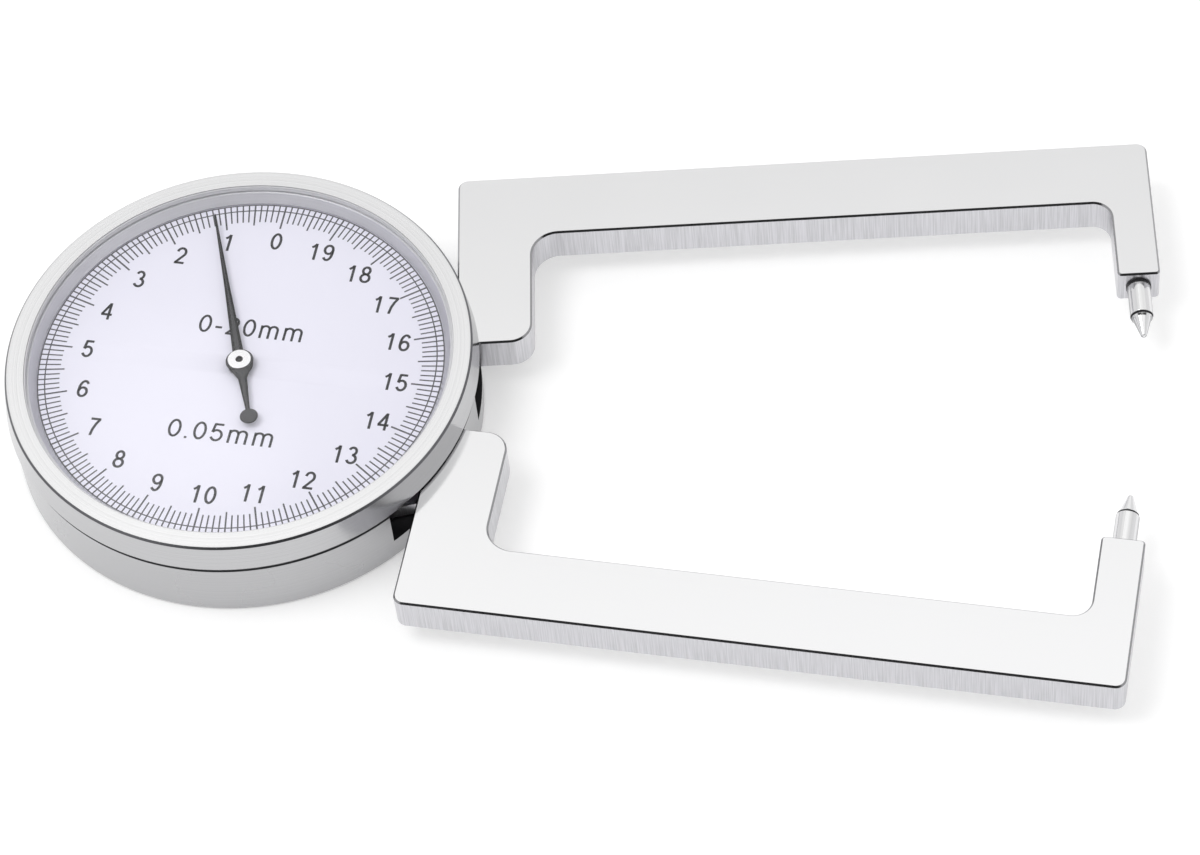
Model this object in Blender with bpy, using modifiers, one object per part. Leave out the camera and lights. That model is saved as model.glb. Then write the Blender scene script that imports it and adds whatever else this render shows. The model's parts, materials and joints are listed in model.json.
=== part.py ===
import math

import bmesh
import bpy
import numpy as np
from mathutils import Matrix, Vector

# Dial thickness gauge: two C-shaped arms reach out of a round case, the upper one
# swings, and a two-stage gear train turns the hand over a dial. Metres, +Z up,
# the case's back at z = 0, its centre at the origin and the fixed arm along +X.

MM = 0.001
COLLECTION = "dial_thickness_gauge"
CUTTERS = "cutters"

# General
overrun = 2.0 * MM
seat_gap = 0.1 * MM
thread_gap = 0.15 * MM
running_gap = 0.1 * MM
small_gap = 0.3 * MM
weld_distance = 0.001 * MM
fine_steps = 56
round_steps = 24
small_steps = 12
arc_steps = 4
sharp_angle = math.radians(35)

# Case drum
case_radius = 26.3 * MM
case_wall = 2.3 * MM
case_rise = 0.05 * MM
case_chamfer = 0.25 * MM
neck_step = 1.1 * MM
neck_lip = 0.35 * MM
wire_rise = 0.5 * MM
wire_radius = 0.18 * MM
wire_clearance = 0.03 * MM
wire_split = math.radians(6)
groove_depth = 0.2 * MM
back_ledge_depth = 1.1 * MM
mouth_angle = math.radians(39.2)
sill_height = 1.3 * MM
mouth_clearance = 0.15 * MM
web_low_y = -3.8 * MM
web_high_y = 0.6 * MM
lug_inset = 1.4 * MM
lug_radius = 2.0 * MM
lug_height = 2.8 * MM
lug_hole = 0.75 * MM
lug_angles = [math.radians(a) for a in (75, 140, 220, 285)]

# Back plate
back_thickness = 1.5 * MM
boss_radius = 1.6 * MM
boss_height = 1.1 * MM
bearing_radius = 0.4 * MM
bearing_rise = 0.2 * MM
pad_radius = 2.6 * MM
pad_height = 1.3 * MM
back_screw_head = 1.5 * MM
back_screw_shank = 0.6 * MM
back_screw_sink = 0.9 * MM
back_screw_reach = 2.3 * MM
back_screw_recess = 0.05 * MM

# Arms: the fixed one lies along +X, the moving one is its twin over the jaw line
arm_thickness = 4.5 * MM
arm_clearance = 0.2 * MM
relief_depth = 2.7 * MM
tongue_clearance = 0.4 * MM
arm_root_depth = 3.4 * MM
arm_length = 78.4 * MM
jaw_line = -1.5 * MM
arm_reach = 26.0 * MM
beam_width = 8.37 * MM
root_leg_width = 8.4 * MM
root_leg_gap = 2.5 * MM
jaw_leg_width = 4.7 * MM
jaw_leg_gap = 7.2 * MM
outer_corner = 1.2 * MM
inner_corner = 3.0 * MM
root_corner = 2.5 * MM
end_corner = 0.5 * MM
arm_chamfer = 0.15 * MM
rest_opening = 21.16 * MM

# Anvil pins in the ends of the arms
pin_radius = 1.3 * MM
pin_cylinder = 4.4 * MM
pin_cone_radius = 1.0 * MM
pin_tip_radius = 0.3 * MM
pin_shank_radius = 0.8 * MM
pin_shank_length = 3.0 * MM
pin_edge = 0.12 * MM
tip_round_share = 0.7

# Pivot of the moving arm
pivot_shares = (-0.3525, 0.1771)
hub_wall = 0.9 * MM
flange_rim = 0.4 * MM
post_radius = 1.5 * MM
post_head = 0.25 * MM
post_groove_radius = 1.0 * MM
post_groove_rise = 0.15 * MM
post_groove_height = 0.5 * MM
bush_wall = 0.6 * MM
circlip_width = 1.5 * MM
circlip_thickness = 0.4 * MM
circlip_slot = math.radians(70)
tail_length = 6.54 * MM
tail_shoulder = 1.2 * MM
hook_pin_radius = 0.5 * MM
hook_pin_height = 1.4 * MM
hook_pin_inset = 1.0 * MM
hook_shank_share = 0.8

# Gear train
module_share = 1 / 96
pressure = math.radians(20)
addendum_share = 0.8
dedendum_share = 1.15
backlash = 0.06 * MM
sector_count = 120
sector_low_count = 2
sector_high_count = 6
idler_pinion_count = 16
wheel_count = 54
hand_pinion_count = 12
sector_thickness = 0.6 * MM
sector_hub_wall = 1.5 * MM
sector_hub_gap = 0.3 * MM
sector_rim = 1.1 * MM
sector_screw_shares = (0.5467, 0.3467)
sector_screw_turns = (math.radians(-1), math.radians(20))
sector_ear_shares = (0.68, 0.4933)
sector_ear_turns = (math.radians(6), math.radians(42))
sector_ear_radius = 1.5 * MM
sector_hub_start = math.radians(95)
sector_hub_end = math.radians(280)
pinion_overhang = 0.1 * MM
pinion_collar = 0.3 * MM
wheel_gap = 0.15 * MM
wheel_thickness = 0.5 * MM
wheel_hub_wall = 2.0 * MM
wheel_rim = 1.06 * MM
wheel_spoke = 0.9 * MM
wheel_spoke_count = 4
arbor_radius = 0.5 * MM
arbor_pivot_radius = 0.3 * MM
arbor_pivot_length = 0.75 * MM
arbor_floor_gap = 0.2 * MM

# Screws with slotted cylinder heads
arm_screw_head = 1.7 * MM
arm_screw_head_height = 0.8 * MM
arm_screw_shank = 0.9 * MM
arm_screw_shares = [(0.4167, -0.5417), (0.7083, -0.4167)]
small_screw_head = 0.9 * MM
small_screw_head_height = 0.3 * MM
small_screw_shank = 0.5 * MM
slot_width = 0.4 * MM
slot_depth = 0.35 * MM
small_slot_width = 0.25 * MM
small_slot_depth = 0.15 * MM

# Flange of the fixed arm, inside the case
flange_shares = [(0.5833, -0.6667), (0.25, -0.7083), (0.25, -0.375), (0.5833, -0.25)]
flange_corner = 1.5 * MM
flange_root_share = -0.5125

# Tongue of the moving arm, jaws closed
tongue_low_shares = [(0.3333, 0.0917), (-0.0833, 0.0667)]
tongue_high_shares = (0.4167, 0.4583)
tongue_root_share = 0.3667
tongue_corner = 3.5 * MM

# Bridge over the gear train
bridge_gap = 0.25 * MM
bridge_thickness = 0.65 * MM
bridge_corner = 2.6 * MM
pillar_radius = 1.5 * MM
pillar_shares = [(-0.1458, -0.3958), (0.7292, -0.1333), (0.1458, 0.7083)]
bridge_idler_bore = 0.4 * MM
bridge_screw_head = 1.2 * MM
bridge_screw_head_height = 0.45 * MM
bridge_screw_shank = 0.6 * MM
bridge_screw_length = 2.5 * MM
pillar_bore_depth = 2.4 * MM

# Hairspring
hairspring_rise = 0.32 * MM
hairspring_inner = 1.3 * MM
hairspring_outer = 5.2 * MM
hairspring_turn_count = 4
hairspring_wire = 0.1 * MM
loop_point_count = 24
collet_radius = 1.0 * MM
collet_height = 0.36 * MM
stud_radius = 0.4 * MM
stud_angle = math.radians(60)
stud_height = 0.5 * MM

# Return spring and its post, and the stop of the moving arm
spring_post_shares = (-0.5, 0.6875)
spring_post_radius = 0.8 * MM
spring_post_head = 1.1 * MM
spring_coil_radius = 1.1 * MM
spring_wire = 0.25 * MM
spring_pitch = 1.05 * MM
spring_curl_count = 8
curl_point_count = 9
spring_rise = 0.7 * MM
spring_eye_gap = 0.15 * MM
eye_sweep = math.radians(240)
eye_point_count = 9
stop_radius = 0.8 * MM
stop_height = 0.4 * MM
stop_edge_share = 0.2
open_margin = math.radians(0.6)

# Bezel, dial and crystal
bezel_gap = 0.2 * MM
bezel_wall = 1.2 * MM
bezel_taper = 0.5 * MM
bezel_foot = 0.1 * MM
bezel_waist = 0.25 * MM
dial_clearance = 0.2 * MM
dial_seat_step = 0.8 * MM
dial_seat_height = 0.45 * MM
rehaut_lip = 1.3 * MM
rehaut_slope = 0.3 * MM
rehaut_height = 1.25 * MM
crystal_depth = 1.0 * MM
crystal_rebate = 0.4 * MM
crystal_thickness = 0.7 * MM
crystal_edge = 0.1 * MM
dial_thickness = 0.4 * MM
dial_hole = 1.2 * MM

# Hand
hand_headroom = 0.55 * MM
hand_thickness = 0.2 * MM
hand_tip_gap = 0.9 * MM
hand_tip_half = 0.12 * MM
hand_root_half = 0.62 * MM
hand_hub = 1.55 * MM
hand_tail_half = 0.5 * MM
hand_tail_neck_half = 0.22 * MM
hand_tail_centre = 7.8 * MM
hand_tail_disc = 1.0 * MM
hand_boss_radius = 1.3 * MM
hand_boss_neck = 0.9 * MM
hand_boss_height = 0.4 * MM
arbor_rise = 0.15 * MM

# Finishes: name, colour, roughness, metal and transmission
finishes = [
    ("polished_steel", (0.78, 0.78, 0.8), 0.12, 1.0, 0.0),
    ("satin_steel", (0.55, 0.55, 0.58), 0.35, 1.0, 0.0),
    ("brass", (0.72, 0.53, 0.24), 0.3, 1.0, 0.0),
    ("dark_steel", (0.2, 0.2, 0.22), 0.4, 1.0, 0.0),
    ("black_paint", (0.02, 0.02, 0.022), 0.4, 0.0, 0.0),
    ("dial_white", (0.86, 0.86, 0.92), 0.5, 0.0, 0.0),
    ("clear_crystal", (1.0, 1.0, 1.0), 0.02, 0.0, 1.0),
]

# Places worked out from the sizes
case_bore = case_radius - case_wall


def in_case(shares):
    # A place inside the case, from its shares of the bore's radius
    return (case_bore * shares[0], case_bore * shares[1])


neck_radius = case_radius - neck_step
lug_circle = case_bore - lug_inset
tongue_radius = case_bore - tongue_clearance
arm_left = case_radius - arm_root_depth
module = case_bore * module_share
arm_screw_spots = [in_case(shares) for shares in arm_screw_shares]
pillar_spots = [in_case(shares) for shares in pillar_shares]
spring_post_spot = in_case(spring_post_shares)
flange_outline = [(*in_case(shares), flange_corner) for shares in flange_shares]
flange_root_y = case_bore * flange_root_share
tongue_low = [(*in_case(shares), tongue_corner) for shares in tongue_low_shares]
tongue_high = (*in_case(tongue_high_shares), tongue_corner)
tongue_root_y = case_bore * tongue_root_share
mouth_sill = back_thickness + sill_height
arm_bottom = mouth_sill + arm_clearance
arm_top = arm_bottom + arm_thickness
tongue_top = arm_top - relief_depth
mouth_top = arm_top + mouth_clearance
case_height = arm_top + case_rise
bearing_floor = back_thickness + bearing_rise
back_screw_top = back_thickness + back_screw_reach
sector_low = tongue_top + small_gap
sector_high = sector_low + sector_thickness
idler_pinion_low = sector_low - pinion_overhang
idler_pinion_high = sector_high + pinion_collar
wheel_low = idler_pinion_high + wheel_gap
wheel_high = wheel_low + wheel_thickness
hand_pinion_low = wheel_low - wheel_gap
hand_pinion_high = wheel_high + wheel_gap + pinion_overhang
bridge_low = hand_pinion_high + bridge_gap
bridge_high = bridge_low + bridge_thickness
bridge_screw_top = bridge_high + seat_gap + bridge_screw_head_height
hairspring_z = bridge_high + hairspring_rise
wire_z = case_height + wire_rise
dial_low = max(wire_z + neck_lip, bridge_screw_top) + dial_clearance
neck_top = dial_low - dial_clearance
bezel_low = case_height + bezel_gap
bezel_waist_z = bezel_low + bezel_waist
dial_seat_top = dial_low + dial_seat_height
crystal_ledge_z = dial_seat_top + rehaut_height
bezel_top = crystal_ledge_z + crystal_depth
hand_low = crystal_ledge_z - hand_headroom
hand_boss_top = hand_low + hand_boss_height
arbor_top = hand_low + arbor_rise
post_groove_low = sector_high + post_groove_rise
post_groove_high = post_groove_low + post_groove_height
post_top = post_groove_high + post_head
hook_pin_top = tongue_top + hook_pin_height
spring_z = tongue_top + spring_rise
spring_post_top = spring_z + spring_post_head
stop_top = tongue_top + stop_height
wire_low = wire_z - wire_radius - wire_clearance
wire_high = wire_z + wire_radius + wire_clearance
skirt_radius = neck_radius + running_gap
bezel_radius = skirt_radius + bezel_wall
bezel_top_radius = bezel_radius - bezel_taper
bezel_foot_radius = bezel_radius - bezel_foot
dial_seat_radius = skirt_radius - dial_seat_step
rehaut_radius = dial_seat_radius - rehaut_lip
rehaut_top_radius = rehaut_radius + rehaut_slope
crystal_pocket_radius = rehaut_top_radius + crystal_rebate
hand_tip = rehaut_radius - hand_tip_gap
ledge_radius = case_radius - back_ledge_depth
ledge_z = back_thickness + small_gap
plate_radius = ledge_radius - seat_gap * 2
lug_low = ledge_z
pin_x = arm_left + arm_length - jaw_leg_width / 2
arm_middle = (arm_bottom + arm_top) / 2
bush_radius = post_radius + running_gap
bush_outer = bush_radius + bush_wall
eye_radius = bush_outer + seat_gap
hub_radius = eye_radius + hub_wall
tail_half = hub_radius - tail_shoulder
post_flange = bush_outer + flange_rim
sector_hub_bore = post_radius + sector_hub_gap
sector_hub = sector_hub_bore + sector_hub_wall
circlip_inner = post_groove_radius + seat_gap
circlip_radius = circlip_inner + circlip_width
pivot = Vector(in_case(pivot_shares))
jaw_arm = Vector((pin_x, jaw_line)) - pivot
jaw_swing = 2 * math.asin(rest_opening / (2 * jaw_arm.length))
tail_pin_x = pivot.x - tail_length + hook_pin_inset


def two_circles(first, first_radius, second, second_radius):
    # The meeting point of two circles that lies to the right of first to second
    span = second - first
    along = (first_radius ** 2 - second_radius ** 2 + span.length ** 2) / (2 * span.length)
    aside = math.sqrt(first_radius ** 2 - along ** 2)
    unit = span.normalized()
    return first + unit * along + Vector((-unit.y, unit.x)) * aside


sector_pitch_radius = module * sector_count / 2
idler_pinion_radius = module * idler_pinion_count / 2
wheel_radius = module * wheel_count / 2
hand_pinion_radius = module * hand_pinion_count / 2
idler_distance = sector_pitch_radius + idler_pinion_radius
centre_distance = wheel_radius + hand_pinion_radius
idler = two_circles(pivot, idler_distance, Vector((0, 0)), centre_distance)
idler_to_pivot = math.atan2(pivot.y - idler.y, pivot.x - idler.x)
idler_to_centre = math.atan2(-idler.y, -idler.x)
pivot_to_idler = idler_to_pivot + math.pi
centre_to_idler = idler_to_centre + math.pi
train_ratio = sector_count / idler_pinion_count * wheel_count / hand_pinion_count
hand_turn = jaw_swing * train_ratio
wheel_window_inner = arbor_radius + seat_gap + wheel_hub_wall
wheel_window_outer = wheel_radius - module * dedendum_share - wheel_rim


def polar(radius, angle, at=(0, 0)):
    return (at[0] + radius * math.cos(angle), at[1] + radius * math.sin(angle))


def on_sector(shares, turns):
    # Places on the sector, at shares of its pitch radius
    return [polar(sector_pitch_radius * share, turn) for share, turn in zip(shares, turns)]


sector_screw_spots = on_sector(sector_screw_shares, sector_screw_turns)
sector_ears = on_sector(sector_ear_shares, sector_ear_turns)


def clear_scene():
    for thing in list(bpy.data.objects):
        bpy.data.objects.remove(thing, do_unlink=True)


def new_collection(name, hidden=False):
    group = bpy.data.collections.new(name)
    bpy.context.scene.collection.children.link(group)
    group.hide_render = hidden
    return group


def material(name, color, roughness, metallic, transmission):
    made = bpy.data.materials.new(name)
    made.use_nodes = True
    shader = made.node_tree.nodes["Principled BSDF"]
    shader.inputs["Base Color"].default_value = (*color, 1.0)
    shader.inputs["Roughness"].default_value = roughness
    shader.inputs["Metallic"].default_value = metallic
    shader.inputs["Transmission Weight"].default_value = transmission
    made.diffuse_color = (*color, 1.0)
    return made


def adopt(thing, group, parent=None):
    # Puts a new object in its collection and under its parent, where it was modelled
    for holder in list(thing.users_collection):
        holder.objects.unlink(thing)
    group.objects.link(thing)
    thing.parent = parent
    return thing


def mesh_object(name, shape, looks=None):
    mesh = bpy.data.meshes.new(name)
    shape.to_mesh(mesh)
    shape.free()
    thing = bpy.data.objects.new(name, mesh)
    bpy.context.scene.collection.objects.link(thing)
    if looks:
        mesh.materials.append(looks)
    return thing


def smooth(thing):
    thing.data.shade_smooth()
    thing.data.set_sharp_from_angle(angle=sharp_angle)
    return thing


def cylinder(name, radius, low, high, at=(0, 0), steps=round_steps, looks=None, top=None):
    # An upright cylinder, or a cone where the top radius differs
    shape = bmesh.new()
    place = Matrix.Translation((at[0], at[1], (low + high) / 2))
    top = radius if top is None else top
    bmesh.ops.create_cone(
        shape, cap_ends=True, segments=steps, radius1=radius, radius2=top, depth=high - low,
        matrix=place)
    return smooth(mesh_object(name, shape, looks))


def box(name, low, high, turn=0.0, at=(0, 0, 0)):
    shape = bmesh.new()
    bmesh.ops.create_cube(shape, size=1)
    span = [b - a for a, b in zip(low, high)]
    middle = [(a + b) / 2 for a, b in zip(low, high)]
    bmesh.ops.scale(shape, vec=span, verts=shape.verts)
    bmesh.ops.translate(shape, vec=middle, verts=shape.verts)
    bmesh.ops.rotate(shape, matrix=Matrix.Rotation(turn, 3, "Z"), verts=shape.verts)
    bmesh.ops.translate(shape, vec=at, verts=shape.verts)
    return mesh_object(name, shape)


def turned(name, profile, at=(0, 0), steps=round_steps, looks=None, closed=True):
    # A profile of (radius, z) that runs down its outer side, spun about the vertical
    shape = bmesh.new()
    points = [shape.verts.new((radius, 0, z)) for radius, z in profile]
    for one, two in zip(points, points[1:]):
        shape.edges.new((one, two))
    if closed:
        shape.edges.new((points[-1], points[0]))
    thing = mesh_object(name, shape, looks)
    thing.location = (at[0], at[1], 0)
    spin = thing.modifiers.new("spin", "SCREW")
    spin.axis = "Z"
    spin.steps = steps
    spin.render_steps = steps
    spin.use_merge_vertices = True
    spin.merge_threshold = weld_distance
    spin.use_normal_calculate = False
    return thing


def baked(thing, name=None, looks=None):
    # The object as a plain mesh where it stands, its loose caps welded
    bpy.context.view_layer.update()
    depsgraph = bpy.context.evaluated_depsgraph_get()
    mesh = bpy.data.meshes.new_from_object(thing.evaluated_get(depsgraph))
    shape = bmesh.new()
    shape.from_mesh(mesh)
    bmesh.ops.remove_doubles(shape, verts=shape.verts, dist=weld_distance)
    bmesh.ops.recalc_face_normals(shape, faces=shape.faces)
    shape.to_mesh(mesh)
    shape.free()
    made = bpy.data.objects.new(name or thing.name, mesh)
    bpy.context.scene.collection.objects.link(made)
    made.matrix_world = thing.matrix_world.copy()
    if looks:
        mesh.materials.clear()
        mesh.materials.append(looks)
    title = thing.name
    bpy.data.objects.remove(thing, do_unlink=True)
    made.name = name or title
    return smooth(made)


def plate(name, loops, low, high, looks=None, chamfer=0.0, bake=True):
    # A flat outline with its holes, between two heights
    flat = bpy.data.curves.new(name, "CURVE")
    flat.dimensions = "2D"
    flat.fill_mode = "BOTH"
    flat.extrude = (high - low) / 2 - chamfer
    flat.bevel_depth = chamfer
    flat.bevel_resolution = 0
    flat.offset = -chamfer
    for loop in loops:
        spline = flat.splines.new("POLY")
        spline.points.add(len(loop) - 1)
        for point, (x, y) in zip(spline.points, loop):
            point.co = (x, y, 0, 1)
        spline.use_cyclic_u = True
    thing = bpy.data.objects.new(name, flat)
    bpy.context.scene.collection.objects.link(thing)
    thing.location.z = (low + high) / 2
    return baked(thing, name, looks) if bake else thing


def wire(name, points, radius, looks=None):
    # A round wire through its points
    path = bpy.data.curves.new(name, "CURVE")
    path.dimensions = "3D"
    path.bevel_depth = radius
    path.bevel_resolution = 1
    path.use_fill_caps = True
    spline = path.splines.new("POLY")
    spline.points.add(len(points) - 1)
    for point, place in zip(spline.points, points):
        point.co = (*place, 1)
    thing = bpy.data.objects.new(name, path)
    bpy.context.scene.collection.objects.link(thing)
    return baked(thing, name, looks)


def boolean(thing, tool, operation="DIFFERENCE"):
    cut = thing.modifiers.new(tool.name, "BOOLEAN")
    cut.operation = operation
    cut.object = tool
    cut.solver = "EXACT"
    adopt(tool, bpy.data.collections[CUTTERS], thing.parent)
    tool.hide_render = True
    tool.display_type = "WIRE"


def circle(radius, at=(0, 0), steps=round_steps):
    turns = [2 * math.pi * i / steps for i in range(steps)]
    return [(at[0] + radius * math.cos(a), at[1] + radius * math.sin(a)) for a in turns]


def rounded(corners, steps=arc_steps):
    # An outline whose corners (x, y, radius) are rounded
    outline = []
    for i, (x, y, radius) in enumerate(corners):
        here = Vector((x, y))
        back = Vector(corners[i - 1][:2]) - here
        ahead = Vector(corners[(i + 1) % len(corners)][:2]) - here
        if not radius:
            outline.append((x, y))
            continue
        half = back.angle(ahead) / 2
        reach = radius / math.tan(half)
        middle = here + (back.normalized() + ahead.normalized()).normalized() * radius / math.sin(half)
        start = here + back.normalized() * reach - middle
        end = here + ahead.normalized() * reach - middle
        sweep = start.angle_signed(end)
        for k in range(steps + 1):
            turned_by = Matrix.Rotation(-sweep * k / steps, 2)
            point = middle + turned_by @ start
            outline.append((point.x, point.y))
    return outline


def seat(thing, group, parent=None, turn=0.0):
    thing.rotation_euler.z += turn
    return adopt(thing, group, parent)


def axis(name, at, group, turn=0.0):
    # An empty on a joint's axis, which carries what turns there
    pivot_point = bpy.data.objects.new(name, None)
    group.objects.link(pivot_point)
    pivot_point.location = (at[0], at[1], 0)
    pivot_point.rotation_euler.z = turn
    pivot_point.empty_display_size = hub_radius
    return pivot_point


def involute(angle):
    return math.tan(angle) - angle


def tooth_flank(count):
    # (radius, half angle) up one involute flank, with a straight root below the base circle
    pitch_radius = module * count / 2
    root = pitch_radius - module * dedendum_share
    tip = pitch_radius + module * addendum_share
    base = pitch_radius * math.cos(pressure)
    half = (math.pi * module / 2 - backlash / 2) / (2 * pitch_radius)
    start = max(root, base)
    radii = [start, pitch_radius, tip]
    flank = [(r, half + involute(pressure) - involute(math.acos(min(1, base / r)))) for r in radii]
    if root < base:
        flank.insert(0, (root, flank[0][1]))
    return flank


def teeth(count, first, last, turn=0.0):
    flank = tooth_flank(count)
    outline = []
    for k in range(first, last + 1):
        middle = turn + 2 * math.pi * k / count
        outline += [polar(r, middle - half) for r, half in flank]
        outline += [polar(r, middle + half) for r, half in reversed(flank)]
    return outline


def gear(name, count, bore, low, high, looks, turn, windows=()):
    loops = [teeth(count, 0, count - 1), circle(bore, steps=small_steps), *windows]
    thing = plate(name, loops, low, high, looks)
    thing.rotation_euler.z = turn
    return thing


def c_corners():
    # The C of the fixed arm, from its outer left corner round to the end of its root leg
    outer = jaw_line - arm_reach
    right = arm_left + arm_length
    inner = outer + beam_width
    leg_end = jaw_line - jaw_leg_gap
    root_end = jaw_line - root_leg_gap
    return [
        (arm_left, outer, outer_corner),
        (right, outer, outer_corner),
        (right, leg_end, end_corner),
        (right - jaw_leg_width, leg_end, end_corner),
        (right - jaw_leg_width, inner, inner_corner),
        (arm_left + root_leg_width, inner, inner_corner),
        (arm_left + root_leg_width, root_end, root_corner),
    ]


def mirrored(corners):
    return [(x, 2 * jaw_line - y, radius) for x, y, radius in reversed(corners)]


def about_pivot(points):
    return [(p[0] - pivot.x, p[1] - pivot.y, *p[2:]) for p in points]


def inside_case(name):
    # What the arms lose inside the drum, so that the train fits over their tongues
    return cylinder(name, tongue_radius, tongue_top, arm_top + overrun, steps=fine_steps)


def pin_bore(name, leg_end, toward, at_x):
    # The bore along Y in the end of an arm for the shank of its anvil pin
    depth = pin_shank_length + small_gap
    shape = bmesh.new()
    middle = leg_end - toward * (depth - overrun) / 2
    turn = Matrix.Translation((at_x, middle, arm_middle)) @ Matrix.Rotation(math.pi / 2, 4, "X")
    bmesh.ops.create_cone(
        shape, cap_ends=True, segments=small_steps, radius1=pin_shank_radius + seat_gap,
        radius2=pin_shank_radius + seat_gap, depth=depth + overrun, matrix=turn)
    return mesh_object(name, shape)


def fixed_arm(group, looks):
    root_end = jaw_line - root_leg_gap
    corners = c_corners() + [(arm_left, root_end, 0)]
    corners += list(reversed(flange_outline)) + [(arm_left, flange_root_y, 0)]
    holes = [circle(arm_screw_shank + thread_gap, spot, small_steps) for spot in arm_screw_spots]
    arm = plate("fixed_arm", [rounded(corners), *holes], arm_bottom, arm_top, looks, arm_chamfer)
    seat(arm, group)
    boolean(arm, inside_case("fixed_arm_relief"))
    boolean(arm, pin_bore("fixed_pin_bore", jaw_line - jaw_leg_gap, 1, pin_x))
    return arm


def moving_arm(group, parent, looks):
    right_angle = math.pi / 2
    meet = math.asin(tail_half / hub_radius)
    above = np.linspace(right_angle, math.pi - meet, arc_steps)
    below = np.linspace(math.pi + meet, 3 * right_angle, arc_steps)
    tail = pivot.x - tail_length
    corners = mirrored(c_corners())
    corners += [(arm_left, tongue_root_y, 0), tongue_high]
    corners += [(*polar(hub_radius, a, pivot), 0) for a in above]
    corners += [(tail, pivot.y + tail_half, outer_corner), (tail, pivot.y - tail_half, outer_corner)]
    corners += [(*polar(hub_radius, a, pivot), 0) for a in below]
    corners += list(reversed(tongue_low)) + [(arm_left, jaw_line + root_leg_gap, 0)]
    outline = about_pivot(rounded(corners))
    eye = circle(eye_radius)
    hook = circle(hook_pin_radius * hook_shank_share + seat_gap, (tail_pin_x - pivot.x, 0), small_steps)
    taps = [circle(small_screw_shank + seat_gap, spot, small_steps) for spot in sector_screw_spots]
    arm = plate("moving_arm", [outline, eye, hook, *taps], arm_bottom, arm_top, looks, arm_chamfer)
    seat(arm, group, parent)
    relief = inside_case("moving_arm_relief")
    relief.location = (-pivot.x, -pivot.y, 0)
    boolean(arm, relief)
    bore = pin_bore("moving_pin_bore", jaw_line + jaw_leg_gap - pivot.y, -1, pin_x - pivot.x)
    boolean(arm, bore)
    return arm


def anvil_pin(name, group, looks, base, toward, parent=None):
    # Shank, cylinder, shoulder, cone and rounded tip, turned about Y
    cone_start = seat_gap + pin_cylinder
    tip = jaw_leg_gap
    profile = [
        (0, tip),
        (pin_tip_radius * tip_round_share, tip - pin_tip_radius * (1 - tip_round_share)),
        (pin_tip_radius, tip - pin_tip_radius),
        (pin_cone_radius, cone_start + pin_edge),
        (pin_cone_radius, cone_start),
        (pin_radius - pin_edge, cone_start),
        (pin_radius, cone_start - pin_edge),
        (pin_radius, seat_gap),
        (pin_shank_radius, seat_gap),
        (pin_shank_radius, -pin_shank_length),
        (0, -pin_shank_length),
    ]
    pin = turned(name, profile, steps=round_steps, closed=False, looks=looks)
    pin = baked(pin)
    pin.rotation_euler.x = -toward * math.pi / 2
    pin.location = (base[0], base[1], arm_middle)
    return seat(pin, group, parent)


def slotted_screw(name, group, looks, at, seat_z, head, head_height, shank, end_z, slot, deep, parent=None):
    profile = [
        (0, seat_z + head_height),
        (head, seat_z + head_height),
        (head, seat_z),
        (shank, seat_z),
        (shank, end_z),
        (0, end_z),
    ]
    screw = baked(turned(name, profile, at=at, steps=small_steps, closed=False, looks=looks))
    seat(screw, group, parent)
    low = (-head - overrun, -slot / 2, seat_z + head_height - deep)
    high = (head + overrun, slot / 2, seat_z + head_height + overrun)
    boolean(screw, box(name + "_slot", low, high, at=(at[0], at[1], 0)))
    return screw


def case_drum(group, looks):
    profile = [
        (neck_radius, neck_top),
        (neck_radius, wire_high),
        (neck_radius - groove_depth, wire_high),
        (neck_radius - groove_depth, wire_low),
        (neck_radius, wire_low),
        (neck_radius, case_height),
        (case_radius - case_chamfer, case_height),
        (case_radius, case_height - case_chamfer),
        (case_radius, case_chamfer),
        (case_radius - case_chamfer, 0),
        (ledge_radius, 0),
        (ledge_radius, ledge_z),
        (case_bore, ledge_z),
        (case_bore, neck_top),
    ]
    drum = seat(baked(turned("case_drum", profile, steps=fine_steps, looks=looks)), group)
    near = case_bore - overrun
    far = case_radius + overrun
    low_y = web_low_y
    lower = [polar(near, -mouth_angle), polar(far, -mouth_angle), (far, low_y), (near, low_y)]
    upper = [(near, web_high_y), (far, web_high_y), polar(far, mouth_angle), polar(near, mouth_angle)]
    for name, outline in (("lower_mouth", lower), ("upper_mouth", upper)):
        boolean(drum, plate(name, [outline], mouth_sill, mouth_top))
    for i, angle in enumerate(lug_angles):
        spot = polar(lug_circle, angle)
        lug = cylinder(f"lug_{i + 1}", lug_radius, lug_low, lug_low + lug_height, spot)
        boolean(drum, lug, "UNION")
    for i, angle in enumerate(lug_angles):
        spot = polar(lug_circle, angle)
        high = lug_low + lug_height + overrun
        hole = cylinder(f"lug_hole_{i + 1}", lug_hole, lug_low - overrun, high, spot, small_steps)
        boolean(drum, hole)
    return drum


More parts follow.
